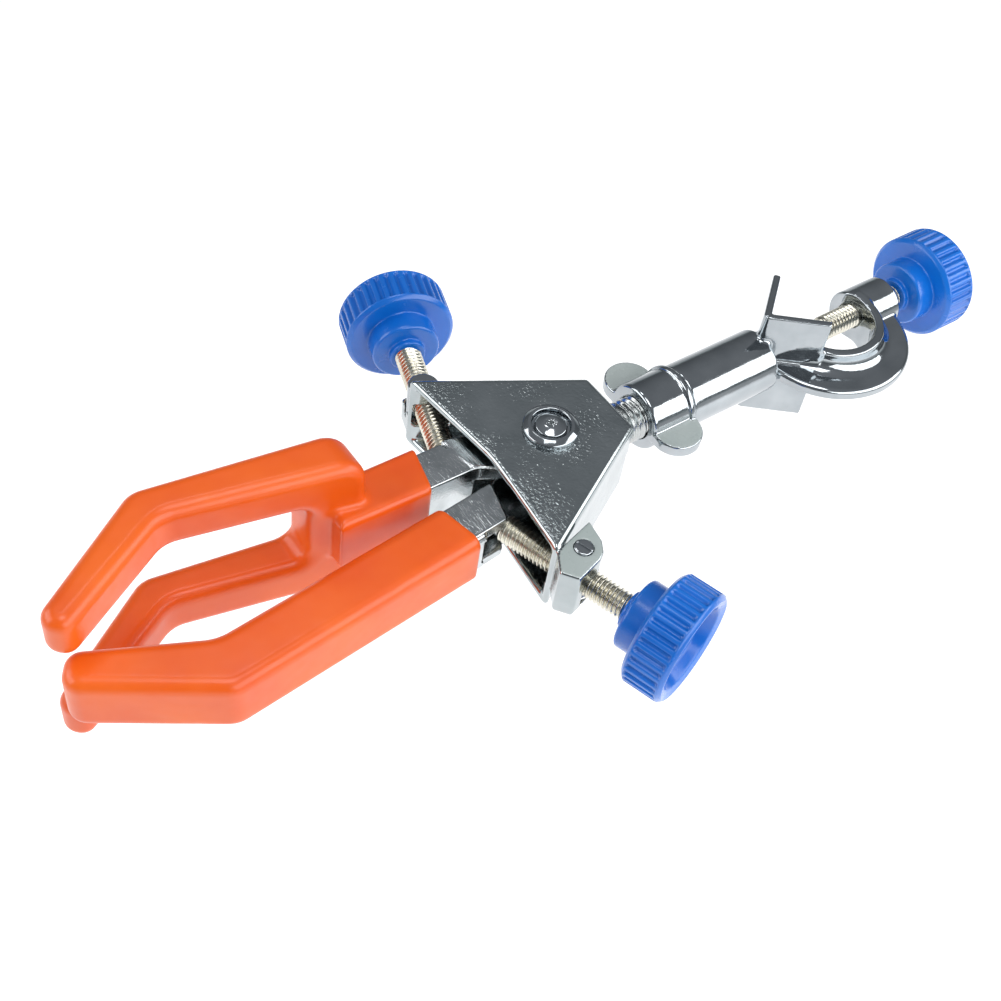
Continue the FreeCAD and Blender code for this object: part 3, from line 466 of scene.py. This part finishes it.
def turned(profile, count, shape=None, ring=False):
    """Points and faces of a profile of (distance along X, radius), turned about X.

    shape(along, radius, angle) may change the radius. A ring's profile closes on itself; another's
    ends are closed by flat or pointed caps."""
    profile = np.asarray(profile, float)
    angles = np.arange(count) * 2 * math.pi / count
    along, radius = np.repeat(profile[:, :1], count, 1), np.repeat(profile[:, 1:], count, 1)
    angle = np.repeat(angles[None], len(profile), 0)
    if shape:
        radius = shape(along, radius, angle)
    points = np.stack([along, radius * np.cos(angle), radius * np.sin(angle)], -1).reshape(-1, 3)
    faces = []
    rows = len(profile)
    for row in range(rows if ring else rows - 1):
        following = (row + 1) % rows
        for k in range(count):
            m = (k + 1) % count
            faces.append((row * count + k, following * count + k, following * count + m, row * count + m))
    if not ring:
        ends = np.array([(profile[0, 0], 0, 0), (profile[-1, 0], 0, 0)])
        points = np.concatenate([points, ends])
        for k in range(count):
            m = (k + 1) % count
            faces.append((rows * count, k, m))
            faces.append((rows * count + 1, (rows - 1) * count + m, (rows - 1) * count + k))
    return points, faces


def placed(points, origin, along):
    """Moves points from a frame whose X axis is a piece's axis to the clamp's frame."""
    along = Vector(along).normalized()
    rotation = np.array(Vector((1, 0, 0)).rotation_difference(along).to_matrix())
    return points @ rotation.T + np.array(origin)


def thread(pitch, depth, start, end, lead_in=0.6):
    """A radius for turned() with a right-hand thread between two distances along the axis."""
    def shape(along, radius, angle):
        phase = (along / pitch - angle / (2 * math.pi)) % 1
        flank = np.clip(np.abs(2 * phase - 1) * 1.25 - 0.125, 0, 1)
        fade = np.clip(np.minimum(along - start, end - along) / lead_in, 0, 1)
        return radius - depth * fade * flank
    return shape


# ---------------------------------------------------------------- arms and coatings

# Outlines in plan: forward of the pivot, to the arm's own side, and the corner's radius.
FINGER_COAT = [(24.0, 2.9, 0), (82.5, 8.4, 9), (106.8, -2.8, 3.4), (111.6, 4.2, 3.9), (85.0, 20.9, 6),
               (24.0, 15.2, 0)]
FINGER_ROOT = [(30.4, 3.4), (27.7, 15.2)]
FORK_COAT = [(34.0, 2.1, 0), (82.0, 12.4, 7), (107.0, -1.8, 3.0), (111.8, 3.0, 3.4), (84.6, 21.2, 6),
             (34.0, 13.8, 0)]
FORK_HALF, FORK_GAP_HALF = 19.0, 8.5
CROSSBAR, CROTCH, PAST_TIPS = 42.0, 53.5, 140.0
# The fork seen from its side: forward of the pivot, height, and the corner's radius.
FORK_PROFILE = [(CROSSBAR, -FORK_HALF, 5.5), (PAST_TIPS, -FORK_HALF, 0), (PAST_TIPS, -FORK_GAP_HALF, 0),
                (CROTCH, -FORK_GAP_HALF, 3.4), (CROTCH, FORK_GAP_HALF, 3.4), (PAST_TIPS, FORK_GAP_HALF, 0),
                (PAST_TIPS, FORK_HALF, 0), (CROSSBAR, FORK_HALF, 5.5)]
FORK_STEM = [(22.0, 0.2, 0), (50.0, 1.1, 0), (50.0, 12.4, 0), (22.0, 12.0, 0)]
FORK_ROOT = [(29.0, 0.4), (26.2, 12.1)]
FINGER_HALF, STEM_HALF = 7.0, 7.2
COAT_ROUND, STEM_ROUND, ROOT_ROUND, STEM_FILLET = 2.7, 1.8, 0.7, 1.6
COAT_THICKNESS = 1.2


def finger_bar(u, v, z, inset=0.0):
    """The single finger's bent bar, with its surface set in by an amount."""
    plan = within(rounded(FINGER_COAT), u, v) + inset
    return both(plan, np.abs(z) - FINGER_HALF + inset, COAT_ROUND - inset)


def fork_bars(u, v, z, inset=0.0):
    """The fork's crossbar and two tines, with their surface set in by an amount."""
    plan = within(rounded(FORK_COAT), u, v) + inset
    profile = within(rounded(FORK_PROFILE), u, z) + inset
    return both(plan, profile, COAT_ROUND - inset)


def finger_coat(u, v, z):
    """The finger's coating, which ends at the line across its root."""
    root = beside(u, v, *FINGER_ROOT)
    return both(finger_bar(u, v, z), root, ROOT_ROUND)


def fork_coat(u, v, z):
    """The fork's coating: the bars and the stem, which ends at the line across its root."""
    stem = both(within(rounded(FORK_STEM), u, v), np.abs(z) - STEM_HALF, STEM_ROUND)
    body = either(fork_bars(u, v, z), stem, STEM_FILLET)
    return both(body, beside(u, v, *FORK_ROOT), ROOT_ROUND)


TONGUE = [(0.0, 7.2, 0), (20.0, 11.4, 0.5), (18.0, 1.5, 0.5), (3.0, -6.6, 0)]
NECKS = {"finger": [(17.1, 3.3, 0.6), (19.6, 12.9, 0.8), (45.0, 15.3, 0), (45.0, 6.2, 0)],
         "fork": [(16.9, 1.3, 0.6), (20.3, 10.6, 0.8), (46.0, 10.9, 0), (46.0, 1.8, 0)]}
NECK_HALF = 6.0
TONGUE_MIDDLE, TONGUE_HALF = 4.0, 2.0
EYE_RADIUS, RIVET_HOLE = 7.4, 2.55
POCKET = [(-2.2, -3.15, 1.2), (-3.75, -1.5, 0.8), (-9.2, 12.0, 0), (9.2, 12.0, 0), (3.75, -1.5, 0.8),
          (2.2, -3.15, 1.2)]
POCKET_HALF = 3.35
SCREW_TILT = math.radians(18.1)
NUT_PLACE = (12.6, 28.3)
NOSE_TO_NUT = 21.0
NOSE = (NUT_PLACE[0] + NOSE_TO_NUT * math.sin(SCREW_TILT),
        NUT_PLACE[1] - NOSE_TO_NUT * math.cos(SCREW_TILT))


def arm_metal(name):
    """The field of an arm: eye and tongue on the rivet, neck, and the core inside the coating."""
    level = 1 if name == "fork" else -1

    def field(u, v, z):
        slab = np.abs(z - level * TONGUE_MIDDLE) - TONGUE_HALF
        eye = np.hypot(u, v) - EYE_RADIUS
        tongue = both(either(within(rounded(TONGUE), u, v), eye, 2.0), slab, 0.4)
        neck = both(within(rounded(NECKS[name]), u, v), np.abs(z) - NECK_HALF, 0.45)
        body = either(tongue, neck, 0.5)
        core = finger_bar if name == "finger" else fork_bars
        body = np.minimum(body, core(u, v, z, COAT_THICKNESS))
        nose = both(within(rounded([(NOSE[0] + a, NOSE[1] + b, r) for a, b, r in POCKET]), u, v),
                    np.abs(z) - POCKET_HALF)
        hole = np.hypot(u, v) - RIVET_HOLE
        return without(without(body, nose, 0.3), hole, 0.2)
    return field


def on_side(field, side):
    """A field drawn forward of the pivot and to the arm's own side, in the clamp's frame."""
    return lambda x, y, z: field(x - PIVOT, side * y, z)


def limits(node, margin=0.0):
    """The two corners of a CAD node's box in millimetres, moved out by a margin."""
    low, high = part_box(node)
    return np.array(low) / MM - margin, np.array(high) / MM + margin


def make_arms():
    """Each arm's metal bar and the vinyl coating on it."""
    for name, coat in (("finger", finger_coat), ("fork", fork_coat)):
        side = SIDES[name]
        points, quads = skin(on_side(coat, side), *limits(name + "_coating", 1), 0.42)
        add_piece(name + "_vinyl", points, quads, name, "vinyl_coating", [name + "_coating"])
        points, quads = skin(on_side(arm_metal(name), side), *limits(name + "_arm", 1), 0.38)
        add_piece(name + "_bar", points, quads, name, "arm_metal", [name + "_arm"])


# ---------------------------------------------------------------- head

# Plans are forward of the pivot, to the side, and the corner's radius.
HEAD_PLAN = [(60.0, 49.7, 0), (-16.4, 8.2, 1.4), (-16.4, -8.2, 1.4), (60.0, -49.7, 0)]
HEAD_INSIDE = [(60.0, 47.3, 0), (-11.4, 8.64, 1.0), (-11.4, -8.64, 1.0), (60.0, -47.3, 0)]
HEAD_HALF, HEAD_INSIDE_HALF = 9.65, 7.65
HEAD_EDGE_ROUND, HEAD_LIP_ROUND = 1.5, 0.98
FRONT_MIDDLE, FRONT_CORNER, FRONT_HALF = 15.4, 18.2, 27.0
HIGH_LUG = [(7.4, 23.4, 0), (8.2, 28.7, 1.5), (9.7, 31.2, 1.5), (11.4, 32.3, 1.2), (17.9, 34.2, 0.7),
            (20.4, 30.9, 0.5), (17.6, 26.2, 0)]
HIGH_LUG_Z, HIGH_LUG_BOTTOM_ROUND = (-4.6, 9.0), 2.2
LOW_LUG = [(7.4, 23.4, 0), (8.2, 28.7, 1.5), (9.7, 31.2, 1.5), (11.4, 32.3, 1.2), (15.2, 32.4, 0.8),
           (17.2, 26.4, 0)]
LOW_LUG_Z = (-9.0, -0.5)
SLOT_HALF, SLOT_HEIGHT_HALF, SLOT_LEAN = 3.95, 3.4, math.radians(4)
SWIVEL_RADIUS, SWIVEL_TOP, SWIVEL_BOTTOM = 3.6, 5.2, -3.7
PIN_RADIUS, PIN_TOP = 2.0, 9.25
SWIVEL_SLACK, RUNNING_GAP = 0.1, 0.05
MARK_HALF, MARK_DEPTH = 0.16, 0.3
TAPPED = 3.05
NECK_ROOT, NECK_END, NECK_RADIUS = -15.4, -17.8, 7.4
STUD_RADIUS = 5.0
STUD_INNER_END = 12.0
RIVET_RADIUS = 2.5
PLATE_CORNER, PLATE_START, PLATE_SLOPE = 8.2, 16.4, 0.543


def head_field(x, y, z):
    """The head: a flat box open to the front, two side lugs, and the bores for nuts, rivet and stud."""
    u = x - PIVOT
    tall = np.abs(z)
    box = both(within(rounded(HEAD_PLAN), u, y), tall - HEAD_HALF, HEAD_EDGE_ROUND)
    slope = (FRONT_CORNER - FRONT_MIDDLE) / FRONT_HALF
    bend = np.sqrt(y ** 2 + 4.0) - 2.0
    front = (u - FRONT_MIDDLE - slope * bend) / math.hypot(1, slope)
    hollow = both(within(rounded(HEAD_INSIDE), u, y), tall - HEAD_INSIDE_HALF, 0.6)
    shell = without(box, hollow, 0.0)
    shell = both(shell, front, HEAD_LIP_ROUND)
    side = np.abs(y)
    bottom, top = HIGH_LUG_Z
    high = both(within(rounded(HIGH_LUG), u, y), z - top, 0.6)
    high = both(high, bottom - z, HIGH_LUG_BOTTOM_ROUND)
    bottom, top = LOW_LUG_Z
    low = both(within(rounded(LOW_LUG), u, -y), np.maximum(z - top, bottom - z), 0.6)
    shell = either(shell, without(high, hollow), 0.2)
    shell = either(shell, without(low, hollow), 0.35)
    neck = both(np.hypot(y, z) - NECK_RADIUS, np.maximum(NECK_END - u, u - NECK_ROOT), 0.8)
    shell = either(shell, neck, 0.5)
    away_u, away_v = u - NUT_PLACE[0], side - NUT_PLACE[1]
    from_nut = np.hypot(away_u, away_v)
    pin_side = np.where(y > 0, z, -z)
    bore = np.maximum(from_nut - SWIVEL_RADIUS - RUNNING_GAP, pin_side - SWIVEL_TOP - RUNNING_GAP)
    pin = from_nut - PIN_RADIUS - RUNNING_GAP
    tilt = SCREW_TILT - SLOT_LEAN
    along = -away_u * math.sin(tilt) + away_v * math.cos(tilt)
    across = away_u * math.cos(tilt) + away_v * math.sin(tilt)
    reach = np.maximum(along - 9.0, -along - 11.0)
    slot = np.maximum(both(np.abs(across) - SLOT_HALF, tall - SLOT_HEIGHT_HALF, 1.0), reach)
    shell = without(shell, np.minimum(np.minimum(bore, np.maximum(pin, -pin_side)), slot), 0.25)
    rivet = np.hypot(u, y) - (RIVET_RADIUS + RUNNING_GAP)
    stud = np.maximum(np.hypot(y, z) - STUD_RADIUS, x - PIVOT + STUD_INNER_END)
    return without(shell, np.minimum(rivet, stud))


def is_lug_top(x, y, z, nx, ny, nz):
    """Faces on the high lug's flat top, outside the head's plate, which get a painted sheen."""
    plate_edge = PLATE_CORNER + PLATE_SLOPE * (x - PIVOT + PLATE_START)
    return (z > HIGH_LUG_Z[1] - 0.3) & (y > plate_edge + 0.4) & (nz > 0.8)


def is_wing_top(x, y, z, nx, ny, nz):
    """Faces on the wings' flats, outside the nut's barrel, which get a painted sheen."""
    return (np.abs(nz) > 0.9) & (np.abs(z) < WING_HALF + 0.2) & (np.abs(y) > NUT_RADIUS + 0.1)


def make_head():
    """The head, hammered, with a painted sheen on its high lug's top: a lighter dull grey in place of the plated
    metal's own reflection.
    """
    points, quads = skin(head_field, *limits("head_frame", 1), 0.32)
    # The high lug's top gets the painted sheen, a lighter dull grey.
    add_piece("head_box", points, quads, "head", "plated_zinc", ["head_frame"], "hammered_zinc",
              ("sheen_painted_zinc", is_lug_top))


# Turned profiles are along the axis, the radius, and the corner's own radius.
RIVET = [(-11.7, 0.0, 0), (-11.7, 1.6, 1.2), (-10.95, 3.5, 0.5), (-10.15, 3.5, 0.15),
         (-10.15, RIVET_RADIUS, 0), (10.15, RIVET_RADIUS, 0), (10.15, 3.5, 0.15), (10.95, 3.5, 0.5),
         (11.7, 1.6, 1.2), (11.7, 0.0, 0)]
CUP_WASHER = [(9.65, 2.55, 0.1), (10.1, 2.55, 0.1), (10.1, 4.2, 0.3), (11.45, 4.2, 0.25),
              (11.45, 4.9, 0.35), (10.7, 6.0, 0.45), (9.65, 6.0, 0.1)]


def make_pivot():
    """The rivet through the head, and a cup washer under each of its heads."""
    points, faces = turned(rounded(RIVET, 0.12), 64)
    add_piece("rivet", placed(points, (PIVOT, 0, 0), (0, 0, 1)), faces, "head", "plated_zinc",
              ["pivot_rivet"])
    for name, level in (("top", 1), ("bottom", -1)):
        points, faces = turned(rounded(CUP_WASHER, 0.1), 96, ring=True)
        add_piece("cup_washer_" + name, placed(points, (PIVOT, 0, 0), (0, 0, level)), faces, "head",
                  "plated_zinc", ["rivet_washer_" + name])


def swivel_nut_field(x, y, z):
    """A barrel nut with its pin up Z, a slot across the pin's top, and its tapped hole along X."""
    round_wall = np.hypot(x, y) - SWIVEL_RADIUS + SWIVEL_SLACK
    barrel = both(round_wall, np.maximum(z - SWIVEL_TOP, SWIVEL_BOTTOM - z), 0.4)
    pin = both(np.hypot(x, y) - PIN_RADIUS, np.maximum(z - PIN_TOP, -z), 0.35)
    mark = both(np.abs(y) - MARK_HALF, PIN_TOP - MARK_DEPTH - z)
    tapped = np.hypot(y, z) - TAPPED
    return without(without(np.minimum(barrel, pin), mark, 0.05), tapped, 0.25)


# ---------------------------------------------------------------- boss head and wing nut

SLEEVE_RADIUS, SLEEVE_END = 7.5, 35.1
JAW_VERTEX = 9.4
JAW = [(9.4, 0.0, 0.5), (-1.2, 8.6, 0.45), (-0.1, 9.95, 0.45), (12.2, 0.0, 1.5), (-0.1, -9.95, 0.45),
       (-1.2, -8.6, 0.45)]
JAW_HALF = 14.5
HOOK_CENTRE = (-10.6, 2.0)
HOOK_INNER, HOOK_BAND, HOOK_RIM = 10.5, 12.8, 20.2
HOOK_HALF, RIM_HALF = 6.0, 1.5
BAND_START, RIM_START, HOOK_STOP = math.radians(30), math.radians(2), math.radians(196)
LUG_RADIUS, LUG_INNER, LUG_OUTER = 6.2, -20.1, -31.9
MOUTH = [(JAW_VERTEX, 0), (-1.2, 8.6), (-1.2, -8.6)]
BORE_END = 14.2


def sector(x, y, start, stop):
    """Distance outside a sector: two half planes' overlap, or their union past half a turn."""
    past_start = x * math.sin(start) - y * math.cos(start)
    past_stop = y * math.cos(stop) - x * math.sin(stop)
    if stop - start < math.pi:
        return np.maximum(past_start, past_stop)
    return np.minimum(past_start, past_stop)


def boss_field(x, y, z):
    """The boss head: sleeve, V-jaw, hook round the rod and screw lug, less their openings."""
    tall = np.abs(z)
    around = np.hypot(y, z)
    sleeve = both(around - SLEEVE_RADIUS, np.maximum(x - SLEEVE_END, JAW_VERTEX + 0.4 - x), 0.5)
    jaw = both(within(rounded(JAW, 0.25), x, y), tall - JAW_HALF, 0.45)
    body = either(sleeve, jaw, 0.8)
    hx, hy = x - HOOK_CENTRE[0], y - HOOK_CENTRE[1]
    away = np.hypot(hx, hy)
    band = both(np.maximum(away - HOOK_BAND, HOOK_INNER - away), tall - HOOK_HALF, 0.6)
    band = both(band, sector(hx, hy, BAND_START, HOOK_STOP), 0.4)
    rim = both(np.maximum(away - HOOK_RIM, HOOK_BAND - 1 - away), tall - RIM_HALF, 1.1)
    rim = both(rim, sector(hx, hy, RIM_START, HOOK_STOP), 0.8)
    hook = either(band, rim, 3.2)
    body = either(body, hook, 1.0)
    lug = both(around - LUG_RADIUS, np.maximum(x - LUG_INNER, LUG_OUTER - x), 0.7)
    body = either(body, lug, 0.6)
    mouth = within(np.array(MOUTH), x, y)
    throat = both(away - HOOK_INNER, tall - JAW_HALF)
    bore = np.maximum(around - STUD_RADIUS - RUNNING_GAP, BORE_END - x)
    tapped = np.maximum(around - TAPPED, x - JAW_VERTEX)
    tapped = np.maximum(tapped, x - LUG_INNER - 1)
    body = without(body, np.minimum(mouth, throat), 0.3)
    return without(body, np.minimum(bore, tapped), 0.3)


NUT_START, NUT_LIP, NUT_END = 35.5, 36.5, 46.9
NUT_LIP_RADIUS, NUT_RADIUS = 8.3, 7.7
# A wing's centre (along X, to the side) and its radius.
WING = (41.3, 8.5, 5.8)
WING_HALF = 1.5


def wing_nut_field(x, y, z):
    """The wing nut: a lip, a barrel and two round wings on the stud."""
    around = np.hypot(y, z)
    lip = both(around - NUT_LIP_RADIUS, np.maximum(x - NUT_LIP - 0.5, NUT_START - x), 0.5)
    barrel = both(around - NUT_RADIUS, np.maximum(x - NUT_END, NUT_LIP - x), 0.9)
    body = either(lip, barrel, 0.3)
    wing = both(np.hypot(x - WING[0], np.abs(y) - WING[1]) - WING[2], np.abs(z) - WING_HALF, 0.55)
    body = either(body, wing, 0.5)
    return without(body, around - STUD_RADIUS - RUNNING_GAP, 0.4)


# The snap ring's groove in the stud, along X and in radius.
GROOVE = [(17.25, STUD_RADIUS), (17.3, 4.3), (18.7, 4.3), (18.75, STUD_RADIUS)]
STUD_CHAMFER = 0.6
STUD_PITCH, STUD_THREAD_DEPTH, STUD_THREAD_START = 1.5, 0.75, 34.5
STUD_FINE_START, STUD_SPACING = 34.0, 0.12


def make_boss():
    """The boss head's casting, the wing nut, and the stud that joins the boss head to the head."""
    points, quads = skin(boss_field, *limits("boss_head_casting", 1), 0.32)
    add_piece("boss_casting", points, quads, "boss_head", "plated_zinc", ["boss_head_casting"])
    points, quads = skin(wing_nut_field, *limits("wing_nut", 1), 0.28)
    # The wings' flats get the painted sheen, a lighter dull grey.
    add_piece("wing_nut_casting", points, quads, "wing_nut", "plated_zinc", ["wing_nut"], "plated_zinc",
              ("sheen_painted_zinc", is_wing_top))
    low, high = (corner.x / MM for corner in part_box("swivel_stud"))
    stud = [(low, STUD_RADIUS - STUD_CHAMFER), (low + STUD_CHAMFER, STUD_RADIUS), *GROOVE]
    stud += [(at, STUD_RADIUS) for at in np.arange(STUD_FINE_START, high, STUD_SPACING)]
    stud += [(high, STUD_RADIUS)]
    points, faces = turned(stud, 72, thread(STUD_PITCH, STUD_THREAD_DEPTH, STUD_THREAD_START, high))
    add_piece("threaded_stud", points, faces, "head", "plated_steel", ["swivel_stud"], "stud_steel")


# ---------------------------------------------------------------- thumb screws

PAD_RADIUS, PAD_LENGTH, PAD_BORE, PAD_BORE_END = 2.4, 2.4, 1.35, 0.45
SCREW_PITCH, SCREW_THREAD_DEPTH, SCREW_SPACING = 1.0, 0.55, 0.09
SCREW_RADIUS, SCREW_IN_KNOB = 3.0, 11.0
SPIGOT_RADIUS = 1.3
REACH = {"rod": 27.1, "fork": 33.5, "finger": 33.5}
KNOB = [(0.0, 3.05, 0), (0.0, 4.1, 0.4), (1.4, 4.1, 0.3), (1.4, 7.7, 0.7), (6.2, 7.7, 0.3),
        (6.2, 11.6, 0.5), (7.0, 12.5, 0.5), (14.8, 12.5, 0.6), (15.6, 11.6, 0.5), (15.0, 9.6, 0.6),
        (12.4, 8.4, 0.6), (12.0, 3.2, 0.4), (12.9, 2.2, 0.5), (12.9, 0.0, 0)]
RIB_COUNT, RIB_DEPTH = 34, 0.75
RIB_START, RIB_STOP = 7.3, 14.5


def ribbed(along, radius, angle):
    """The straight ribs across a knob's rim, with a smooth band on each side of them."""
    wave = np.cos(angle * RIB_COUNT)
    groove = 1 / (1 + np.exp(5 * (wave + 0.15)))
    ends = np.clip(np.minimum(along - RIB_START, RIB_STOP - along) / 0.35, 0, 1)
    rim = np.clip((radius - 11.9) / 0.4, 0, 1)
    return radius - RIB_DEPTH * groove * ends * rim


def dense(profile, spacing):
    """Adds points along a profile's longer runs."""
    points = [profile[0]]
    for start, end in zip(profile[:-1], profile[1:]):
        steps = max(1, int(np.linalg.norm(end - start) / spacing))
        points += [start + (end - start) * step / steps for step in range(1, steps + 1)]
    return np.array(points)


def ribbed_at(reach):
    """The ribs of a knob whose inner end is that far along its screw."""
    return lambda along, radius, angle: ribbed(along - reach, radius, angle)


def pad_profile():
    """A thrust pad: a round nose, and a bore for the screw's spigot."""
    angles = np.linspace(0.01, math.pi / 2, 14)
    nose = [(-PAD_RADIUS * math.cos(a), PAD_RADIUS * math.sin(a)) for a in angles]
    return nose + [(PAD_LENGTH - 0.2, PAD_RADIUS), (PAD_LENGTH, PAD_RADIUS - 0.2),
                   (PAD_LENGTH, PAD_BORE), (PAD_BORE_END, PAD_BORE)]


def shank_profile(reach):
    """A screw from its spigot to its end inside the knob, with fine steps where it is threaded."""
    shank = [(0.55, SPIGOT_RADIUS), (PAD_LENGTH, SPIGOT_RADIUS), (PAD_LENGTH + 0.05, 2.4),
             (PAD_LENGTH + 0.65, SCREW_RADIUS)]
    shank += [(at, SCREW_RADIUS) for at in np.arange(PAD_LENGTH + 0.75, reach + 1.5, SCREW_SPACING)]
    return shank + [(reach + SCREW_IN_KNOB, SCREW_RADIUS)]


def make_thumb_screw(name, reach, nose, along):
    """A pad, screw and knob, from the centre of the nose and the direction from it to the knob."""
    points, faces = turned(pad_profile(), 48)
    add_piece(name + "_thrust_pad", placed(points, nose, along), faces, name + "_pad", "pad_steel",
              [name + "_screw_pad"])
    cut = thread(SCREW_PITCH, SCREW_THREAD_DEPTH, PAD_LENGTH + 0.7, reach + 1.4, 0.5)
    points, faces = turned(shank_profile(reach), 64, cut)
    add_piece(name + "_threaded_rod", placed(points, nose, along), faces, name + "_screw",
              "plated_steel", [name + "_screw"])
    profile = dense(rounded(KNOB, 0.15)[:-1], 0.3)
    points, faces = turned([(reach + a, r) for a, r in profile], RIB_COUNT * 12, ribbed_at(reach))
    add_piece(name + "_knob", placed(points, nose, along), faces, name + "_screw", "knob_plastic",
              [name + "_screw_knob"])


def make_swivel_nut(name, centre, along):
    """An arm screw's nut; the fork's is the same nut turned over, with its pin down."""
    points, quads = skin(swivel_nut_field, (-4, -4, -4), (4, 4, 10), 0.2)
    if name == "fork":
        points = points * (1, -1, -1)
    angle = math.atan2(along.y, along.x)
    turn = np.array([(math.cos(angle), -math.sin(angle), 0), (math.sin(angle), math.cos(angle), 0),
                     (0, 0, 1)])
    points = points @ turn.T + np.array(centre) / MM
    add_piece(name + "_barrel_nut", points, quads, name + "_nut", "plated_zinc",
              [name + "_swivel_nut"])


def make_screws():
    """The rod screw's joint is at its nose, and an arm screw's is at its nut."""
    for name, reach in REACH.items():
        joint = joints[name + "_screw_turn"]
        inward = Vector(joint["axis"])
        nose = Vector(joint["pos_m"]) / MM
        if name != "rod":
            nose = nose + inward * NOSE_TO_NUT
        make_thumb_screw(name, reach, nose, -inward)
        if name != "rod":
            make_swivel_nut(name, joint["pos_m"], -inward)


INNER_NODES = ("stud_snap_ring", "torsion_spring", "arm_spacer_top", "arm_spacer_bottom")


def dress_cad_nodes():
    """The sealed inner pieces keep their CAD shape and get their slot's material."""
    slots = {part["node"]: part["material_slot"] for part in frame["record"]["subparts"]}
    for name in INNER_NODES:
        nodes[name].data.materials.clear()
        nodes[name].data.materials.append(materials[slots[name]])


make_camera()
light_scene()
make_floor()
make_arms()
make_head()
make_pivot()
make_boss()
make_screws()
dress_cad_nodes()
